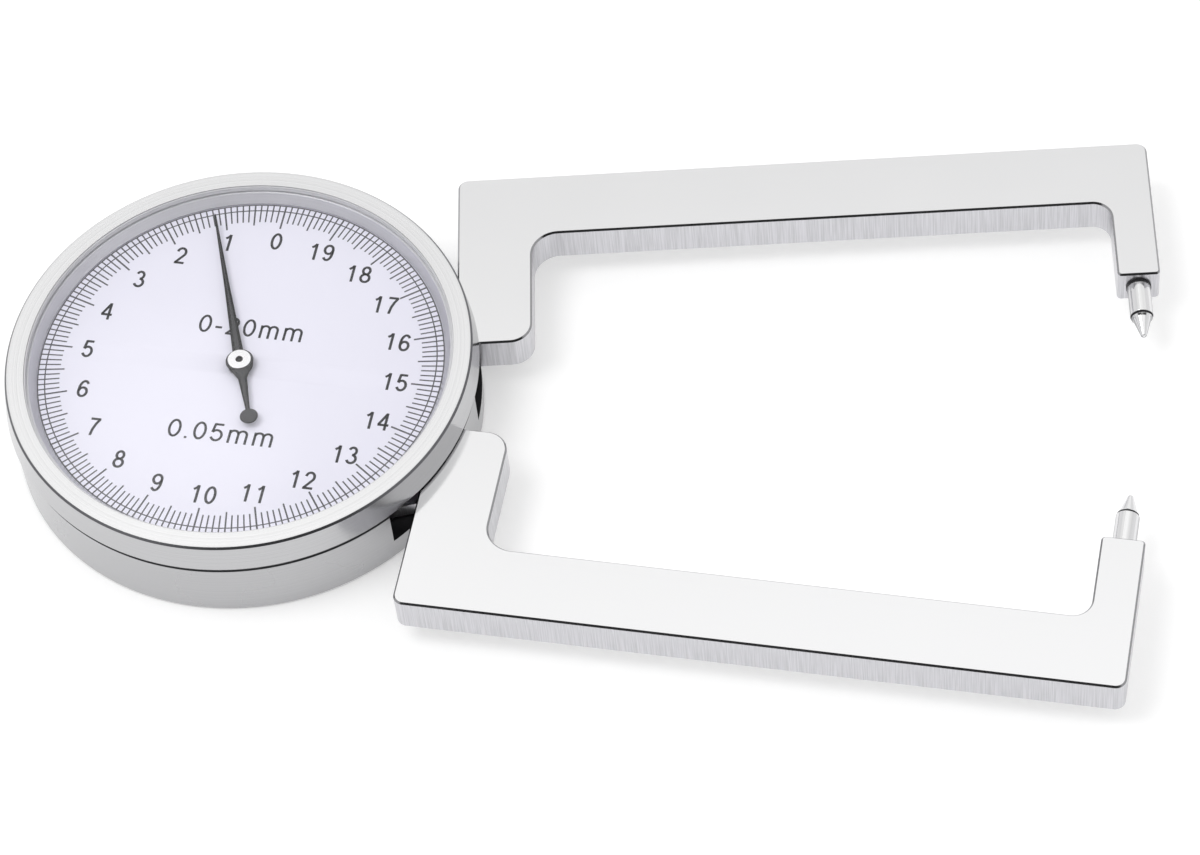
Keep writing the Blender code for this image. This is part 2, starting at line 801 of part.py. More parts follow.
def back_plate(group, looks):
    lid = cylinder("back_plate", plate_radius, 0, back_thickness, steps=fine_steps, looks=looks)
    seat(lid, group)
    inside = back_thickness / 2
    for name, spot in (("centre_boss", (0, 0)), ("idler_boss", tuple(idler))):
        boss = cylinder(name, boss_radius, inside, back_thickness + boss_height, spot, small_steps)
        boolean(lid, boss, "UNION")
    for i, spot in enumerate(arm_screw_spots):
        pad = cylinder(f"pad_{i + 1}", pad_radius, inside, back_thickness + pad_height, spot)
        boolean(lid, pad, "UNION")
    for name, spot in (("centre_bearing", (0, 0)), ("idler_bearing", tuple(idler))):
        high = back_thickness + boss_height + overrun
        boolean(lid, cylinder(name, bearing_radius, bearing_floor, high, spot, small_steps))
    for i, spot in enumerate(arm_screw_spots):
        hole = arm_screw_shank + thread_gap
        high = back_thickness + pad_height + overrun
        boolean(lid, cylinder(f"pad_hole_{i + 1}", hole, bearing_floor, high, spot, small_steps))
    for i, angle in enumerate(lug_angles):
        spot = polar(lug_circle, angle)
        boolean(lid, screw_seat(f"back_screw_seat_{i + 1}", spot))
    return lid


def screw_seat(name, at):
    # The countersink and clearance hole of a back screw
    wide = back_screw_head + seat_gap
    narrow = back_screw_shank + seat_gap
    profile = [
        (0, back_thickness + overrun),
        (narrow, back_thickness + overrun),
        (narrow, back_screw_recess + back_screw_sink),
        (wide, back_screw_recess),
        (wide, -overrun),
        (0, -overrun),
    ]
    return baked(turned(name, profile, at=at, steps=small_steps, closed=False))


def back_screws(group, looks):
    for i, angle in enumerate(lug_angles):
        profile = [
            (0, back_screw_top),
            (back_screw_shank, back_screw_top),
            (back_screw_shank, back_screw_recess + back_screw_sink),
            (back_screw_head, back_screw_recess),
            (0, back_screw_recess),
        ]
        name = f"back_screw_{i + 1}"
        at = polar(lug_circle, angle)
        screw = baked(turned(name, profile, at=at, steps=small_steps, closed=False, looks=looks))
        seat(screw, group)
        reach = back_screw_head + overrun
        low = (-reach, -slot_width / 2, -overrun)
        high = (reach, slot_width / 2, back_screw_recess + slot_depth)
        boolean(screw, box(name + "_slot", low, high, turn=angle, at=(at[0], at[1], 0)))


def pivot_post(group, looks):
    low = back_thickness + seat_gap
    profile = [
        (0, post_top),
        (post_radius - pin_edge, post_top),
        (post_radius, post_top - pin_edge),
        (post_radius, post_groove_high),
        (post_groove_radius, post_groove_high),
        (post_groove_radius, post_groove_low),
        (post_radius, post_groove_low),
        (post_radius, back_thickness + pad_height),
        (post_flange, back_thickness + pad_height),
        (post_flange, low),
        (0, low),
    ]
    seat(baked(turned("pivot_post", profile, at=pivot, closed=False, looks=looks)), group)
    ring = [polar(circlip_inner, a) for a in np.linspace(
        circlip_slot / 2, 2 * math.pi - circlip_slot / 2, round_steps)]
    ring += [polar(circlip_radius, a) for a in np.linspace(
        2 * math.pi - circlip_slot / 2, circlip_slot / 2, round_steps)]
    middle = (post_groove_low + post_groove_high) / 2
    low, high = middle - circlip_thickness / 2, middle + circlip_thickness / 2
    clip = plate("pivot_circlip", [ring], low, high, looks)
    clip.location.x += pivot.x
    clip.location.y += pivot.y
    clip.rotation_euler.z = math.pi / 2
    seat(clip, group)


def upper_bridge(group, looks, pillar_looks, screw_looks):
    corners = [(*spot, bridge_corner) for spot in pillar_spots]
    middle = Vector((sum(c[0] for c in corners), sum(c[1] for c in corners))) / len(corners)
    grown = []
    for i, (x, y, radius) in enumerate(corners):
        here = Vector((x, y))
        back = (Vector(corners[i - 1][:2]) - here).normalized()
        ahead = (Vector(corners[(i + 1) % len(corners)][:2]) - here).normalized()
        half = back.angle(ahead) / 2
        point = here - (back + ahead).normalized() * radius / math.sin(half)
        grown.append((point.x, point.y, radius))
    holes = [circle(bridge_screw_shank + thread_gap, spot, small_steps) for spot in pillar_spots]
    holes.append(circle(bridge_idler_bore, idler, small_steps))
    holes.append(circle(arbor_radius + running_gap, steps=small_steps))
    outline = rounded(grown, arc_steps * 2)
    seat(plate("upper_bridge", [outline, *holes], bridge_low, bridge_high, looks, pin_edge), group)
    for i, spot in enumerate(pillar_spots):
        profile = [
            (bridge_screw_shank + thread_gap, bridge_low - seat_gap),
            (pillar_radius, bridge_low - seat_gap),
            (pillar_radius, back_thickness + seat_gap),
            (0, back_thickness + seat_gap),
            (0, bridge_low - pillar_bore_depth - small_gap),
            (bridge_screw_shank + thread_gap, bridge_low - pillar_bore_depth - small_gap),
        ]
        pillar = turned(f"pillar_{i + 1}", profile, at=spot, steps=small_steps, looks=pillar_looks)
        seat(baked(pillar), group)
        slotted_screw(
            f"bridge_screw_{i + 1}", group, screw_looks, spot, bridge_high + seat_gap, bridge_screw_head,
            bridge_screw_head_height, bridge_screw_shank, bridge_high + seat_gap - bridge_screw_length,
            slot_width, small_slot_depth)


def spiral(inner, outer, turns, at_z):
    # Points of a flat spiral that ends at the stud's angle
    count = turns * loop_point_count
    points = []
    for i in range(count + 1):
        share = i / count
        angle = stud_angle - 2 * math.pi * turns * (1 - share)
        points.append((*polar(inner + (outer - inner) * share, angle), at_z))
    return points


def return_spring_points():
    # Eye, straight run, coil, straight run and eye, between the tail pin and the spring post
    pin = Vector(polar(tail_pin_x - pivot.x, jaw_swing, pivot)).to_3d()
    post = Vector((*spring_post_spot, 0))
    along = (post - pin).normalized()
    aside = Vector((-along.y, along.x, 0))
    pin_eye = hook_pin_radius + spring_wire + spring_eye_gap
    post_eye = spring_post_radius + spring_wire + spring_eye_gap
    up = Vector((0, 0, 1))
    lift = up * spring_z
    points = []
    for i in range(eye_point_count):
        angle = eye_sweep * (1 - i / (eye_point_count - 1))
        points.append(pin + along * pin_eye * math.cos(angle) + aside * pin_eye * math.sin(angle) + lift)
    length = (post - pin).length
    coil = spring_pitch * spring_curl_count
    start = pin_eye + (length - pin_eye - post_eye - coil) / 2
    count = spring_curl_count * curl_point_count
    for i in range(count + 1):
        angle = 2 * math.pi * i / curl_point_count
        swell = min(1, i / (curl_point_count / 2), (count - i) / (curl_point_count / 2))
        radius = spring_coil_radius * swell
        centre = pin + along * (start + coil * i / count) + lift
        points.append(centre + aside * radius * math.cos(angle) + up * radius * math.sin(angle))
    for i in range(eye_point_count):
        angle = eye_sweep * i / (eye_point_count - 1)
        points.append(post - along * post_eye * math.cos(angle) + aside * post_eye * math.sin(angle) + lift)
    return [tuple(p) for p in points]


def least_gap(points, radius, apart):
    # The least gap of a tube to itself, between points more than some steps apart
    places = np.array(points)
    ends = len(places)
    best = math.inf
    for i in range(ends - apart):
        away = np.linalg.norm(places[i + apart:] - places[i], axis=1)
        best = min(best, away.min())
    return best - 2 * radius


def springs(group, looks, screw_looks, collet_parent):
    hair = spiral(hairspring_inner, hairspring_outer, hairspring_turn_count, hairspring_z)
    print("hairspring gap mm", round(least_gap(hair, hairspring_wire, loop_point_count // 2) / MM, 3))
    seat(wire("hairspring", hair, hairspring_wire, looks), group)
    pull = return_spring_points()
    print("return spring gap mm", round(least_gap(pull, spring_wire, curl_point_count // 2) / MM, 3))
    seat(wire("return_spring", pull, spring_wire, looks), group)
    at = polar(hairspring_outer + hairspring_wire + stud_radius + seat_gap, stud_angle)
    low = bridge_high + seat_gap
    high = low + stud_height
    stud = cylinder("hairspring_stud", stud_radius, low, high, at, small_steps, screw_looks)
    seat(stud, group)
    collet = [
        (collet_radius, hairspring_z + collet_height / 2),
        (collet_radius, hairspring_z - collet_height / 2),
        (arbor_radius + seat_gap, hairspring_z - collet_height / 2),
        (arbor_radius + seat_gap, hairspring_z + collet_height / 2),
    ]
    ring = turned("hairspring_collet", collet, steps=small_steps, looks=screw_looks)
    seat(baked(ring), group, collet_parent)
    profile = [
        (0, spring_post_top),
        (spring_post_radius, spring_post_top),
        (spring_post_radius, back_thickness + seat_gap),
        (0, back_thickness + seat_gap),
    ]
    post = turned(
        "spring_post", profile, at=spring_post_spot, steps=small_steps, closed=False, looks=screw_looks)
    seat(baked(post), group)


def stop_pin(group, looks):
    # Stands against the upper edge of the tongue where the jaws are fully open
    start = Vector(tongue_high[:2]) - pivot
    end = Vector((arm_left, tongue_root_y)) - pivot
    edge = end - start
    outward = Vector((-edge.y, edge.x)).normalized()
    middle = start.lerp(end, stop_edge_share) + outward * (stop_radius + seat_gap)
    at = pivot + Matrix.Rotation(jaw_swing + open_margin, 2) @ middle
    low = back_thickness + seat_gap
    seat(cylinder("stop_pin", stop_radius, low, stop_top, at, small_steps, looks), group)


def sector(group, parent, looks, screw_looks):
    turn = pivot_to_idler - jaw_swing
    outline = teeth(sector_count, -sector_low_count, sector_high_count, turn)
    pitch_angle = 2 * math.pi / sector_count
    rim = sector_pitch_radius - sector_rim
    waist = (-pivot).length
    arbor_way = math.atan2(-pivot.y, -pivot.x)
    low = arbor_way + math.asin((arbor_radius + small_gap) / waist)
    rim_low = turn + pitch_angle * (-sector_low_count - 1 / 2)
    rim_high = turn + pitch_angle * (sector_high_count + 1 / 2)
    corners = [(*polar(rim, rim_high), 0)]
    corners += [(*ear, sector_ear_radius) for ear in sector_ears]
    hub_turns = np.linspace(sector_hub_start, sector_hub_end, arc_steps * 2)
    corners += [(*polar(sector_hub, a), 0) for a in hub_turns]
    corners += [(*polar(waist, low), 0), (*polar(rim, rim_low), 0)]
    outline += rounded(corners)
    holes = [circle(small_screw_shank + seat_gap, spot, small_steps) for spot in sector_screw_spots]
    loops = [outline, circle(sector_hub_bore), *holes]
    gear_plate = plate("sector_gear", loops, sector_low, sector_high, looks)
    seat(gear_plate, group, parent)
    for i, spot in enumerate(sector_screw_spots):
        slotted_screw(
            f"sector_screw_{i + 1}", group, screw_looks, spot, sector_high + seat_gap / 2, small_screw_head,
            small_screw_head_height, small_screw_shank, arm_bottom + small_gap,
            small_slot_width, small_slot_depth, parent)
    pin_low = arm_bottom + seat_gap
    profile = [
        (0, hook_pin_top),
        (hook_pin_radius, hook_pin_top),
        (hook_pin_radius, tongue_top + seat_gap),
        (hook_pin_radius * hook_shank_share, tongue_top + seat_gap),
        (hook_pin_radius * hook_shank_share, pin_low),
        (0, pin_low),
    ]
    at = (tail_pin_x - pivot.x, 0)
    hook = turned("spring_hook_pin", profile, at=at, steps=small_steps, closed=False, looks=screw_looks)
    seat(baked(hook), group, parent)
    ring = [
        (bush_outer, tongue_top),
        (bush_outer, arm_bottom),
        (bush_radius, arm_bottom),
        (bush_radius, tongue_top),
    ]
    seat(baked(turned("pivot_bush", ring, looks=looks)), group, parent)


def wheel_windows():
    # Openings between the wheel's spokes
    windows = []
    for i in range(wheel_spoke_count):
        middle = 2 * math.pi * (i + 1 / 2) / wheel_spoke_count
        sweeps = []
        for radius in (wheel_window_inner, wheel_window_outer):
            half = math.pi / wheel_spoke_count - math.asin(wheel_spoke / 2 / radius)
            turns = np.linspace(middle - half, middle + half, arc_steps * 2)
            sweeps.append([polar(radius, a) for a in turns])
        windows.append(sweeps[0] + sweeps[1][::-1])
    return windows


def arbor(name, group, parent, looks, top, top_pivot):
    foot = bearing_floor + arbor_floor_gap
    profile = [
        (0, top + top_pivot),
        (arbor_pivot_radius, top + top_pivot),
        (arbor_pivot_radius, top),
        (arbor_radius, top),
        (arbor_radius, foot + arbor_pivot_length + seat_gap * 2),
        (arbor_pivot_radius, foot + arbor_pivot_length + seat_gap * 2),
        (arbor_pivot_radius, foot),
        (0, foot),
    ]
    seat(baked(turned(name, profile, steps=small_steps, closed=False, looks=looks)), group, parent)


def gear_train(group, idler_axis, hand_axis, brass, steel):
    bore = arbor_radius + seat_gap
    top = bridge_low - running_gap
    arbor("idler_arbor", group, idler_axis, steel, top, bridge_thickness)
    half_pitch = math.pi / idler_pinion_count
    turn = idler_to_pivot + half_pitch
    low, high = idler_pinion_low, idler_pinion_high
    pinion = gear("idler_pinion", idler_pinion_count, bore, low, high, steel, turn)
    seat(pinion, group, idler_axis)
    windows = wheel_windows()
    turn = idler_to_centre
    wheel = gear("idler_wheel", wheel_count, bore, wheel_low, wheel_high, brass, turn, windows)
    seat(wheel, group, idler_axis)
    arbor("centre_arbor", group, hand_axis, steel, hand_low - seat_gap, arbor_top - hand_low + seat_gap)
    half_pitch = math.pi / hand_pinion_count
    turn = centre_to_idler + half_pitch
    pinion = gear("centre_pinion", hand_pinion_count, bore, hand_pinion_low, hand_pinion_high, steel, turn)
    seat(pinion, group, hand_axis)


def hand(group, parent, black, steel):
    # The hand points along +X before it is turned to its reading
    tail = -hand_tail_centre
    outline = [(hand_tip, -hand_tip_half), (hand_tip, hand_tip_half)]
    rise = math.asin(hand_root_half / hand_hub)
    fall = math.asin(hand_tail_half / hand_hub)
    outline += [polar(hand_hub, a) for a in np.linspace(rise, math.pi - fall, arc_steps * 2)]
    neck = math.asin(hand_tail_neck_half / hand_tail_disc)
    disc_turns = np.linspace(neck, 2 * math.pi - neck, round_steps)
    outline += [polar(hand_tail_disc, a, (tail, 0)) for a in disc_turns]
    outline += [polar(hand_hub, a) for a in np.linspace(math.pi + fall, 2 * math.pi - rise, arc_steps * 2)]
    bore = circle(hand_boss_neck + seat_gap, steps=small_steps)
    pointer = plate("hand", [outline, bore], hand_low, hand_low + hand_thickness, black)
    seat(pointer, group, parent, math.pi / 2 + hand_turn)
    bore_radius = arbor_pivot_radius + seat_gap
    profile = [
        (bore_radius, hand_boss_top),
        (hand_boss_radius - pin_edge, hand_boss_top),
        (hand_boss_radius, hand_boss_top - pin_edge),
        (hand_boss_radius, hand_low + hand_thickness + seat_gap / 2),
        (hand_boss_neck, hand_low + hand_thickness + seat_gap / 2),
        (hand_boss_neck, hand_low - seat_gap / 2),
        (bore_radius, hand_low - seat_gap / 2),
    ]
    seat(baked(turned("hand_boss", profile, looks=steel)), group, parent)


def bezel(group, parent, chrome, dial_looks, glass):
    profile = [
        (bezel_top_radius - pin_edge, bezel_top),
        (bezel_top_radius, bezel_top - pin_edge),
        (bezel_radius, bezel_waist_z),
        (bezel_foot_radius, bezel_low),
        (skirt_radius, bezel_low),
        (skirt_radius, wire_low),
        (skirt_radius + groove_depth, wire_low),
        (skirt_radius + groove_depth, wire_high),
        (skirt_radius, wire_high),
        (skirt_radius, dial_low),
        (dial_seat_radius, dial_low),
        (dial_seat_radius, dial_seat_top),
        (rehaut_radius, dial_seat_top),
        (rehaut_top_radius, crystal_ledge_z),
        (crystal_pocket_radius, crystal_ledge_z),
        (crystal_pocket_radius, bezel_top),
    ]
    seat(baked(turned("bezel_ring", profile, steps=fine_steps, looks=chrome)), group, parent)
    low = crystal_ledge_z + seat_gap
    high = low + crystal_thickness
    radius = crystal_pocket_radius - seat_gap * 3 / 2
    lens = [
        (0, high),
        (radius - crystal_edge, high),
        (radius, high - crystal_edge),
        (radius, low),
        (0, low),
    ]
    seat(baked(turned("crystal", lens, steps=fine_steps, closed=False, looks=glass)), group, parent)
    radius = dial_seat_radius - seat_gap * 2
    high = dial_seat_top - seat_gap
    face = plate("dial_plate", [circle(radius, steps=fine_steps), circle(dial_hole)],
                 high - dial_thickness, high, dial_looks)
    seat(face, group, parent)


def bezel_wire(group, looks):
    # The split wire that sits half in the neck and half in the bezel
    radius = (neck_radius + skirt_radius) / 2
    turns = np.linspace(wire_split / 2, 2 * math.pi - wire_split / 2, fine_steps)
    points = [(*polar(radius, a + math.pi / 2), wire_z) for a in turns]
    seat(wire("bezel_wire", points, wire_radius, looks), group)


def build():
    clear_scene()
    group = new_collection(COLLECTION)
    new_collection(CUTTERS, hidden=True)
    polished, satin, brass, dark, black, white, glass = [material(*finish) for finish in finishes]

    case_drum(group, satin)
    back_plate(group, satin)
    back_screws(group, dark)
    fixed_arm(group, polished)
    anvil_pin("fixed_pin", group, polished, (pin_x, jaw_line - jaw_leg_gap), 1)
    for i, spot in enumerate(arm_screw_spots):
        slotted_screw(
            f"arm_screw_{i + 1}", group, dark, spot, tongue_top + seat_gap, arm_screw_head,
            arm_screw_head_height, arm_screw_shank, bearing_floor + seat_gap, slot_width, slot_depth)
    pivot_post(group, dark)
    upper_bridge(group, brass, satin, dark)
    stop_pin(group, dark)
    bezel_wire(group, dark)

    arm_axis = axis("moving_arm_axis", pivot, group, jaw_swing)
    moving_arm(group, arm_axis, polished)
    base = (pin_x - pivot.x, jaw_line + jaw_leg_gap - pivot.y)
    anvil_pin("moving_pin", group, polished, base, -1, arm_axis)
    sector(group, arm_axis, brass, dark)

    idler_axis = axis("idler_axis", idler, group)
    hand_axis = axis("hand_axis", (0, 0), group)
    gear_train(group, idler_axis, hand_axis, brass, satin)
    springs(group, dark, satin, hand_axis)
    hand(group, hand_axis, black, polished)
    bezel_axis = axis("bezel_axis", (0, 0), group)
    bezel(group, bezel_axis, satin, white, glass)
    print("jaw swing deg", round(math.degrees(jaw_swing), 4), "hand ratio", train_ratio,
          "idler mm", round(idler.x / MM, 4), round(idler.y / MM, 4),
          "hand turn deg", round(math.degrees(hand_turn), 3))


build()
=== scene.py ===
import bpy
import bmesh
import json
import math
from mathutils import Matrix, Vector

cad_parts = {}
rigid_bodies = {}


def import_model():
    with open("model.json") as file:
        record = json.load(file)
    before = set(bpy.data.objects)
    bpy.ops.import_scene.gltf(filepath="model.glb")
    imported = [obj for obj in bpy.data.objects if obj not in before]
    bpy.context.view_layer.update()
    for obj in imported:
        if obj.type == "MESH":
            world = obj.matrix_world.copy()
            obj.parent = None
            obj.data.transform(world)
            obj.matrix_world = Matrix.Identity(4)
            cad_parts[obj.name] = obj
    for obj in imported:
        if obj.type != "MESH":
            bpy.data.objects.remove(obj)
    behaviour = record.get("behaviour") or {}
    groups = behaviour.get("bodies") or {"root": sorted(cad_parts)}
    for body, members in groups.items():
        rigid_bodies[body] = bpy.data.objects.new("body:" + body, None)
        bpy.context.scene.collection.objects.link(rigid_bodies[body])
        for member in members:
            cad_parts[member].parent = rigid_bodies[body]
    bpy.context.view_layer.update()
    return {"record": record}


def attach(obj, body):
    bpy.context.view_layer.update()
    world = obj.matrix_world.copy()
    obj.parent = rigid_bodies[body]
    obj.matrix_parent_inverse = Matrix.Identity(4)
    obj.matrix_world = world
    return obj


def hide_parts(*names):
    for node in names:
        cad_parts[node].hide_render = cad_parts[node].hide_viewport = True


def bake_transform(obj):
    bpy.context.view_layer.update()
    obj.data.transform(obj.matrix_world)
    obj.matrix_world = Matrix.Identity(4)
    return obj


# Looks of a dial thickness gauge. Sizes are in millimetres and become metres in the mesh
# helpers; angles are in degrees. Every piece is modelled in place, in the frame of the solids.

mm = 0.001
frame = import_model()
joints = {joint["name"]: joint for joint in frame["record"]["behaviour"]["joints"]}
pivotAxis = Vector(joints["jaw_hinge"]["pos_m"]) / mm

# The stored pose of the mechanism, which the dial's reading gives
pose = {"opening": 21.16, "jawLine": -1.5, "pinX": 98.95, "handRatio": 33.75}
jawArm = math.hypot(pose["pinX"] - pivotAxis.x, pose["jawLine"] - pivotAxis.y)
swing = 2 * math.asin(pose["opening"] / (2 * jawArm))
handAngle = math.pi / 2 + swing * pose["handRatio"]
armTurn = Matrix.Rotation(swing, 4, "Z")
armPlace = Matrix.Translation(pivotAxis) @ armTurn @ Matrix.Translation(-pivotAxis)


def polar(radius, degrees, at=(0, 0)):
    angle = math.radians(degrees)
    return (at[0] + radius * math.cos(angle), at[1] + radius * math.sin(angle))


# Node helpers. A value is a plain one, or another node's socket, which is linked

def feed(tree, node, values):
    for name, value in values.items():
        if isinstance(value, bpy.types.NodeSocket):
            tree.links.new(value, node.inputs[name])
        else:
            node.inputs[name].default_value = value


def addNode(tree, kind, values=None, **settings):
    node = tree.nodes.new(kind)
    for name, setting in settings.items():
        setattr(node, name, setting)
    feed(tree, node, values or {})
    return node


def newGroup(name, kind, inputs, outputs):
    # An empty node group with named sockets, each with its kind and its value
    tree = bpy.data.node_groups.new(name, kind)
    for way, sockets in (("INPUT", inputs), ("OUTPUT", outputs)):
        for label, (socketKind, value) in sockets.items():
            socket = tree.interface.new_socket(
                name=label, in_out=way, socket_type="NodeSocket" + socketKind)
            if value is not None:
                socket.default_value = value
    return tree, addNode(tree, "NodeGroupInput").outputs


def mathNode(tree, operation, *terms):
    return addNode(tree, "ShaderNodeMath", dict(enumerate(terms)), operation=operation).outputs[0]


def vectorNode(tree, operation, *terms):
    values = dict(enumerate(terms))
    return addNode(tree, "ShaderNodeVectorMath", values, operation=operation).outputs


def fadeNode(tree, value, low, high, start=0.0, end=1.0):
    # A soft step of a value between two limits
    values = {"Value": value, "From Min": low, "From Max": high, "To Min": start, "To Max": end}
    node = addNode(tree, "ShaderNodeMapRange", values, interpolation_type="SMOOTHSTEP")
    return node.outputs["Result"]


def rangeNode(tree, value, low, high):
    # Maps a 0 to 1 value to a range
    values = {"Value": value, "To Min": low, "To Max": high}
    return addNode(tree, "ShaderNodeMapRange", values).outputs["Result"]


def bumpNode(tree, height, distance, strength=1.0):
    values = {"Height": height, "Distance": distance * mm, "Strength": strength}
    return addNode(tree, "ShaderNodeBump", values).outputs["Normal"]


def colorMix(tree, factor, *colors):
    # Mixes two colours, each a plain one or a socket
    values = {"Factor": factor}
    for name, color in zip("AB", colors):
        values[name] = color if isinstance(color, bpy.types.NodeSocket) else (*color, 1)
    return addNode(tree, "ShaderNodeMix", values, data_type="RGBA").outputs["Result"]


def shaded(color, share):
    return [level * share for level in color]


# Shader groups that several finishes share. A look gives most of their scales anew

grain = {
    "lineScale": 1000.0, "lineDetail": 3.0, "smudgeScale": 60.0, "smudgeDetail": 4.0,
    "markScale": 9000.0, "markDetail": 2.0,
}


def grindGroup():
    # Fine ground lines, stretched along one direction of the object's own space
    inputs = {
        "Stretch": ("Vector", (1.0, 1.0, 1.0)), "Scale": ("Float", grain["lineScale"]),
        "Smudge": ("Float", grain["smudgeScale"])}
    outputs = {"Lines": ("Float", None), "Wear": ("Float", None)}
    tree, given = newGroup("groundLines", "ShaderNodeTree", inputs, outputs)
    place = addNode(tree, "ShaderNodeTexCoord").outputs["Object"]
    stretched = vectorNode(tree, "MULTIPLY", place, given["Stretch"])[0]
    lines = addNode(tree, "ShaderNodeTexNoise", {
        "Vector": stretched, "Scale": given["Scale"], "Detail": grain["lineDetail"]})
    smudge = addNode(tree, "ShaderNodeTexNoise", {
        "Vector": place, "Scale": given["Smudge"], "Detail": grain["smudgeDetail"]})
    addNode(tree, "NodeGroupOutput", {"Lines": lines.outputs["Fac"], "Wear": smudge.outputs["Fac"]})
    return tree


def turnedGroup():
    # Concentric turning marks about the case's axis
    inputs, outputs = {"Pitch": ("Float", grain["markScale"])}, {"Marks": ("Float", None)}
    tree, given = newGroup("turningMarks", "ShaderNodeTree", inputs, outputs)
    place = addNode(tree, "ShaderNodeTexCoord").outputs["Object"]
    spot = addNode(tree, "ShaderNodeSeparateXYZ", {0: place}).outputs
    flat = addNode(tree, "ShaderNodeCombineXYZ", {"X": spot["X"], "Y": spot["Y"]}).outputs[0]
    radius = vectorNode(tree, "LENGTH", flat)["Value"]
    wave = addNode(tree, "ShaderNodeTexNoise", {
        "W": mathNode(tree, "ADD", radius, spot["Z"]), "Scale": given["Pitch"],
        "Detail": grain["markDetail"]}, noise_dimensions="1D")
    addNode(tree, "NodeGroupOutput", {"Marks": wave.outputs["Fac"]})
    return tree


groundLines = grindGroup()
turningMarks = turnedGroup()

# Where the masks of a finish fade: by a face's slope, by the ground lines and by the bands
fades = {"offSides": (0.3, 0.5), "onTops": (0.9, 0.97), "lines": (0.3, 0.7), "bands": (0.42, 0.58)}


def groupNode(tree, group, **values):
    inputs = {name.capitalize(): value for name, value in values.items()}
    return addNode(tree, "ShaderNodeGroup", inputs, node_tree=group).outputs


def baseMaterial(name, color, metallic, roughness):
    made = bpy.data.materials.new(name)
    made.use_nodes = True
    tree = made.node_tree
    shader = tree.nodes["Principled BSDF"]
    values = {"Base Color": (*color, 1), "Metallic": metallic, "Roughness": roughness}
    feed(tree, shader, values)
    return made, tree, shader


def slopeMasks(tree):
    # One mask for all but the upright sides and one for the flat tops
    normal = addNode(tree, "ShaderNodeNewGeometry").outputs["True Normal"]
    upright = addNode(tree, "ShaderNodeSeparateXYZ", {0: normal}).outputs["Z"]
    slope = mathNode(tree, "ABSOLUTE", upright)
    return fadeNode(tree, slope, *fades["offSides"]), fadeNode(tree, slope, *fades["onTops"])


def facetColor(tree, masks, side, top, edge):
    # Painted light by slope: upright sides, flat tops painted lighter as a painted highlight, and
    # the chamfers between them painted dark as a painted reflection
    offSides, onTops = masks
    return colorMix(tree, onTops, colorMix(tree, offSides, side, edge), top)


def groundSteel(name, look):
    # Steel with straight ground lines on its sides, polished on top; the top is painted lighter as
    # a painted highlight and the chamfers painted dark as a painted reflection
    made, tree, shader = baseMaterial(name, look["top"], 1.0, look["topRough"])
    ground = groupNode(
        tree, groundLines, stretch=look["stretch"], scale=look["scale"], smudge=look["smudge"])
    masks = slopeMasks(tree)
    lines = fadeNode(tree, ground["Lines"], *fades["lines"])
    side = colorMix(tree, lines, look["sideDark"], look["sideLight"])
    top = colorMix(tree, ground["Wear"], shaded(look["top"], look["topShade"]), look["top"])
    worn = rangeNode(tree, ground["Wear"], look["topRough"], look["topRough"] + look["wear"])
    rough = addNode(tree, "ShaderNodeMix", {
        "Factor": masks[0], "A": look["sideRough"], "B": worn}, data_type="FLOAT")
    feed(tree, shader, {
        "Base Color": facetColor(tree, masks, side, top, look["edge"]),
        "Roughness": rough.outputs["Result"],
        "Normal": bumpNode(tree, ground["Lines"], look["bump"], look["bumpStrength"])})
    return made


def turnedSteel(name, look):
    # Steel or plated brass with fine turning marks round the case's axis
    made, tree, shader = baseMaterial(name, look["light"], 1.0, look["rough"])
    marks = groupNode(tree, turningMarks, pitch=look["pitch"])["Marks"]
    wear = groupNode(tree, groundLines, smudge=look["smudge"])["Wear"]
    color = colorMix(tree, marks, look["dark"], look["light"])
    # Where a look has a top, the top is painted lighter as a painted highlight and the chamfers
    # painted dark as a painted reflection
    if "top" in look:
        bands = groupNode(tree, turningMarks, pitch=look["bands"])["Marks"]
        turned = fadeNode(tree, bands, *fades["bands"])
        top = colorMix(tree, turned, shaded(look["top"], look["bandShade"]), look["top"])
        color = facetColor(tree, slopeMasks(tree), color, top, look["edge"])
    feed(tree, shader, {
        "Base Color": color,
        "Roughness": rangeNode(tree, wear, look["rough"], look["rough"] + look["wear"]),
        "Normal": bumpNode(tree, marks, look["bump"], look["bumpStrength"])})
    return made


def paintedFace(name, look):
    # Paint, print or rubber with a faint unevenness
    made, tree, shader = baseMaterial(name, look["color"], 0.0, look["rough"])
    uneven = groupNode(tree, groundLines, scale=look["grain"], smudge=look["smudge"])
    color = colorMix(tree, uneven["Wear"], shaded(look["color"], look["shade"]), look["color"])
    # Where a look has an edge, its slopes and sides are painted darker than its flat top, as
    # painted shade
    if "edge" in look:
        side = colorMix(tree, uneven["Wear"], look["edge"], shaded(look["edge"], look["edgeLift"]))
        color = facetColor(tree, slopeMasks(tree), side, color, look["edge"])
    feed(tree, shader, {
        "Base Color": color, "Specular IOR Level": look["gloss"],
        "Normal": bumpNode(tree, uneven["Lines"], look["bump"])})
    return made


def clearCrystal(name, look):
    # Glass that lets the light of the lamps and of pale surfaces straight through
    made, tree, shader = baseMaterial(name, (1, 1, 1), 0.0, look["rough"])
    feed(tree, shader, {"Transmission Weight": 1.0, "IOR": look["ior"]})
    path = addNode(tree, "ShaderNodeLightPath").outputs
    through = mathNode(tree, "MAXIMUM", path["Is Shadow Ray"], path["Is Diffuse Ray"])
    clear = addNode(tree, "ShaderNodeBsdfTransparent").outputs["BSDF"]
    blend = addNode(tree, "ShaderNodeMixShader", {
        "Fac": through, 1: shader.outputs["BSDF"], 2: clear})
    feed(tree, tree.nodes["Material Output"], {"Surface": blend.outputs["Shader"]})
    return made


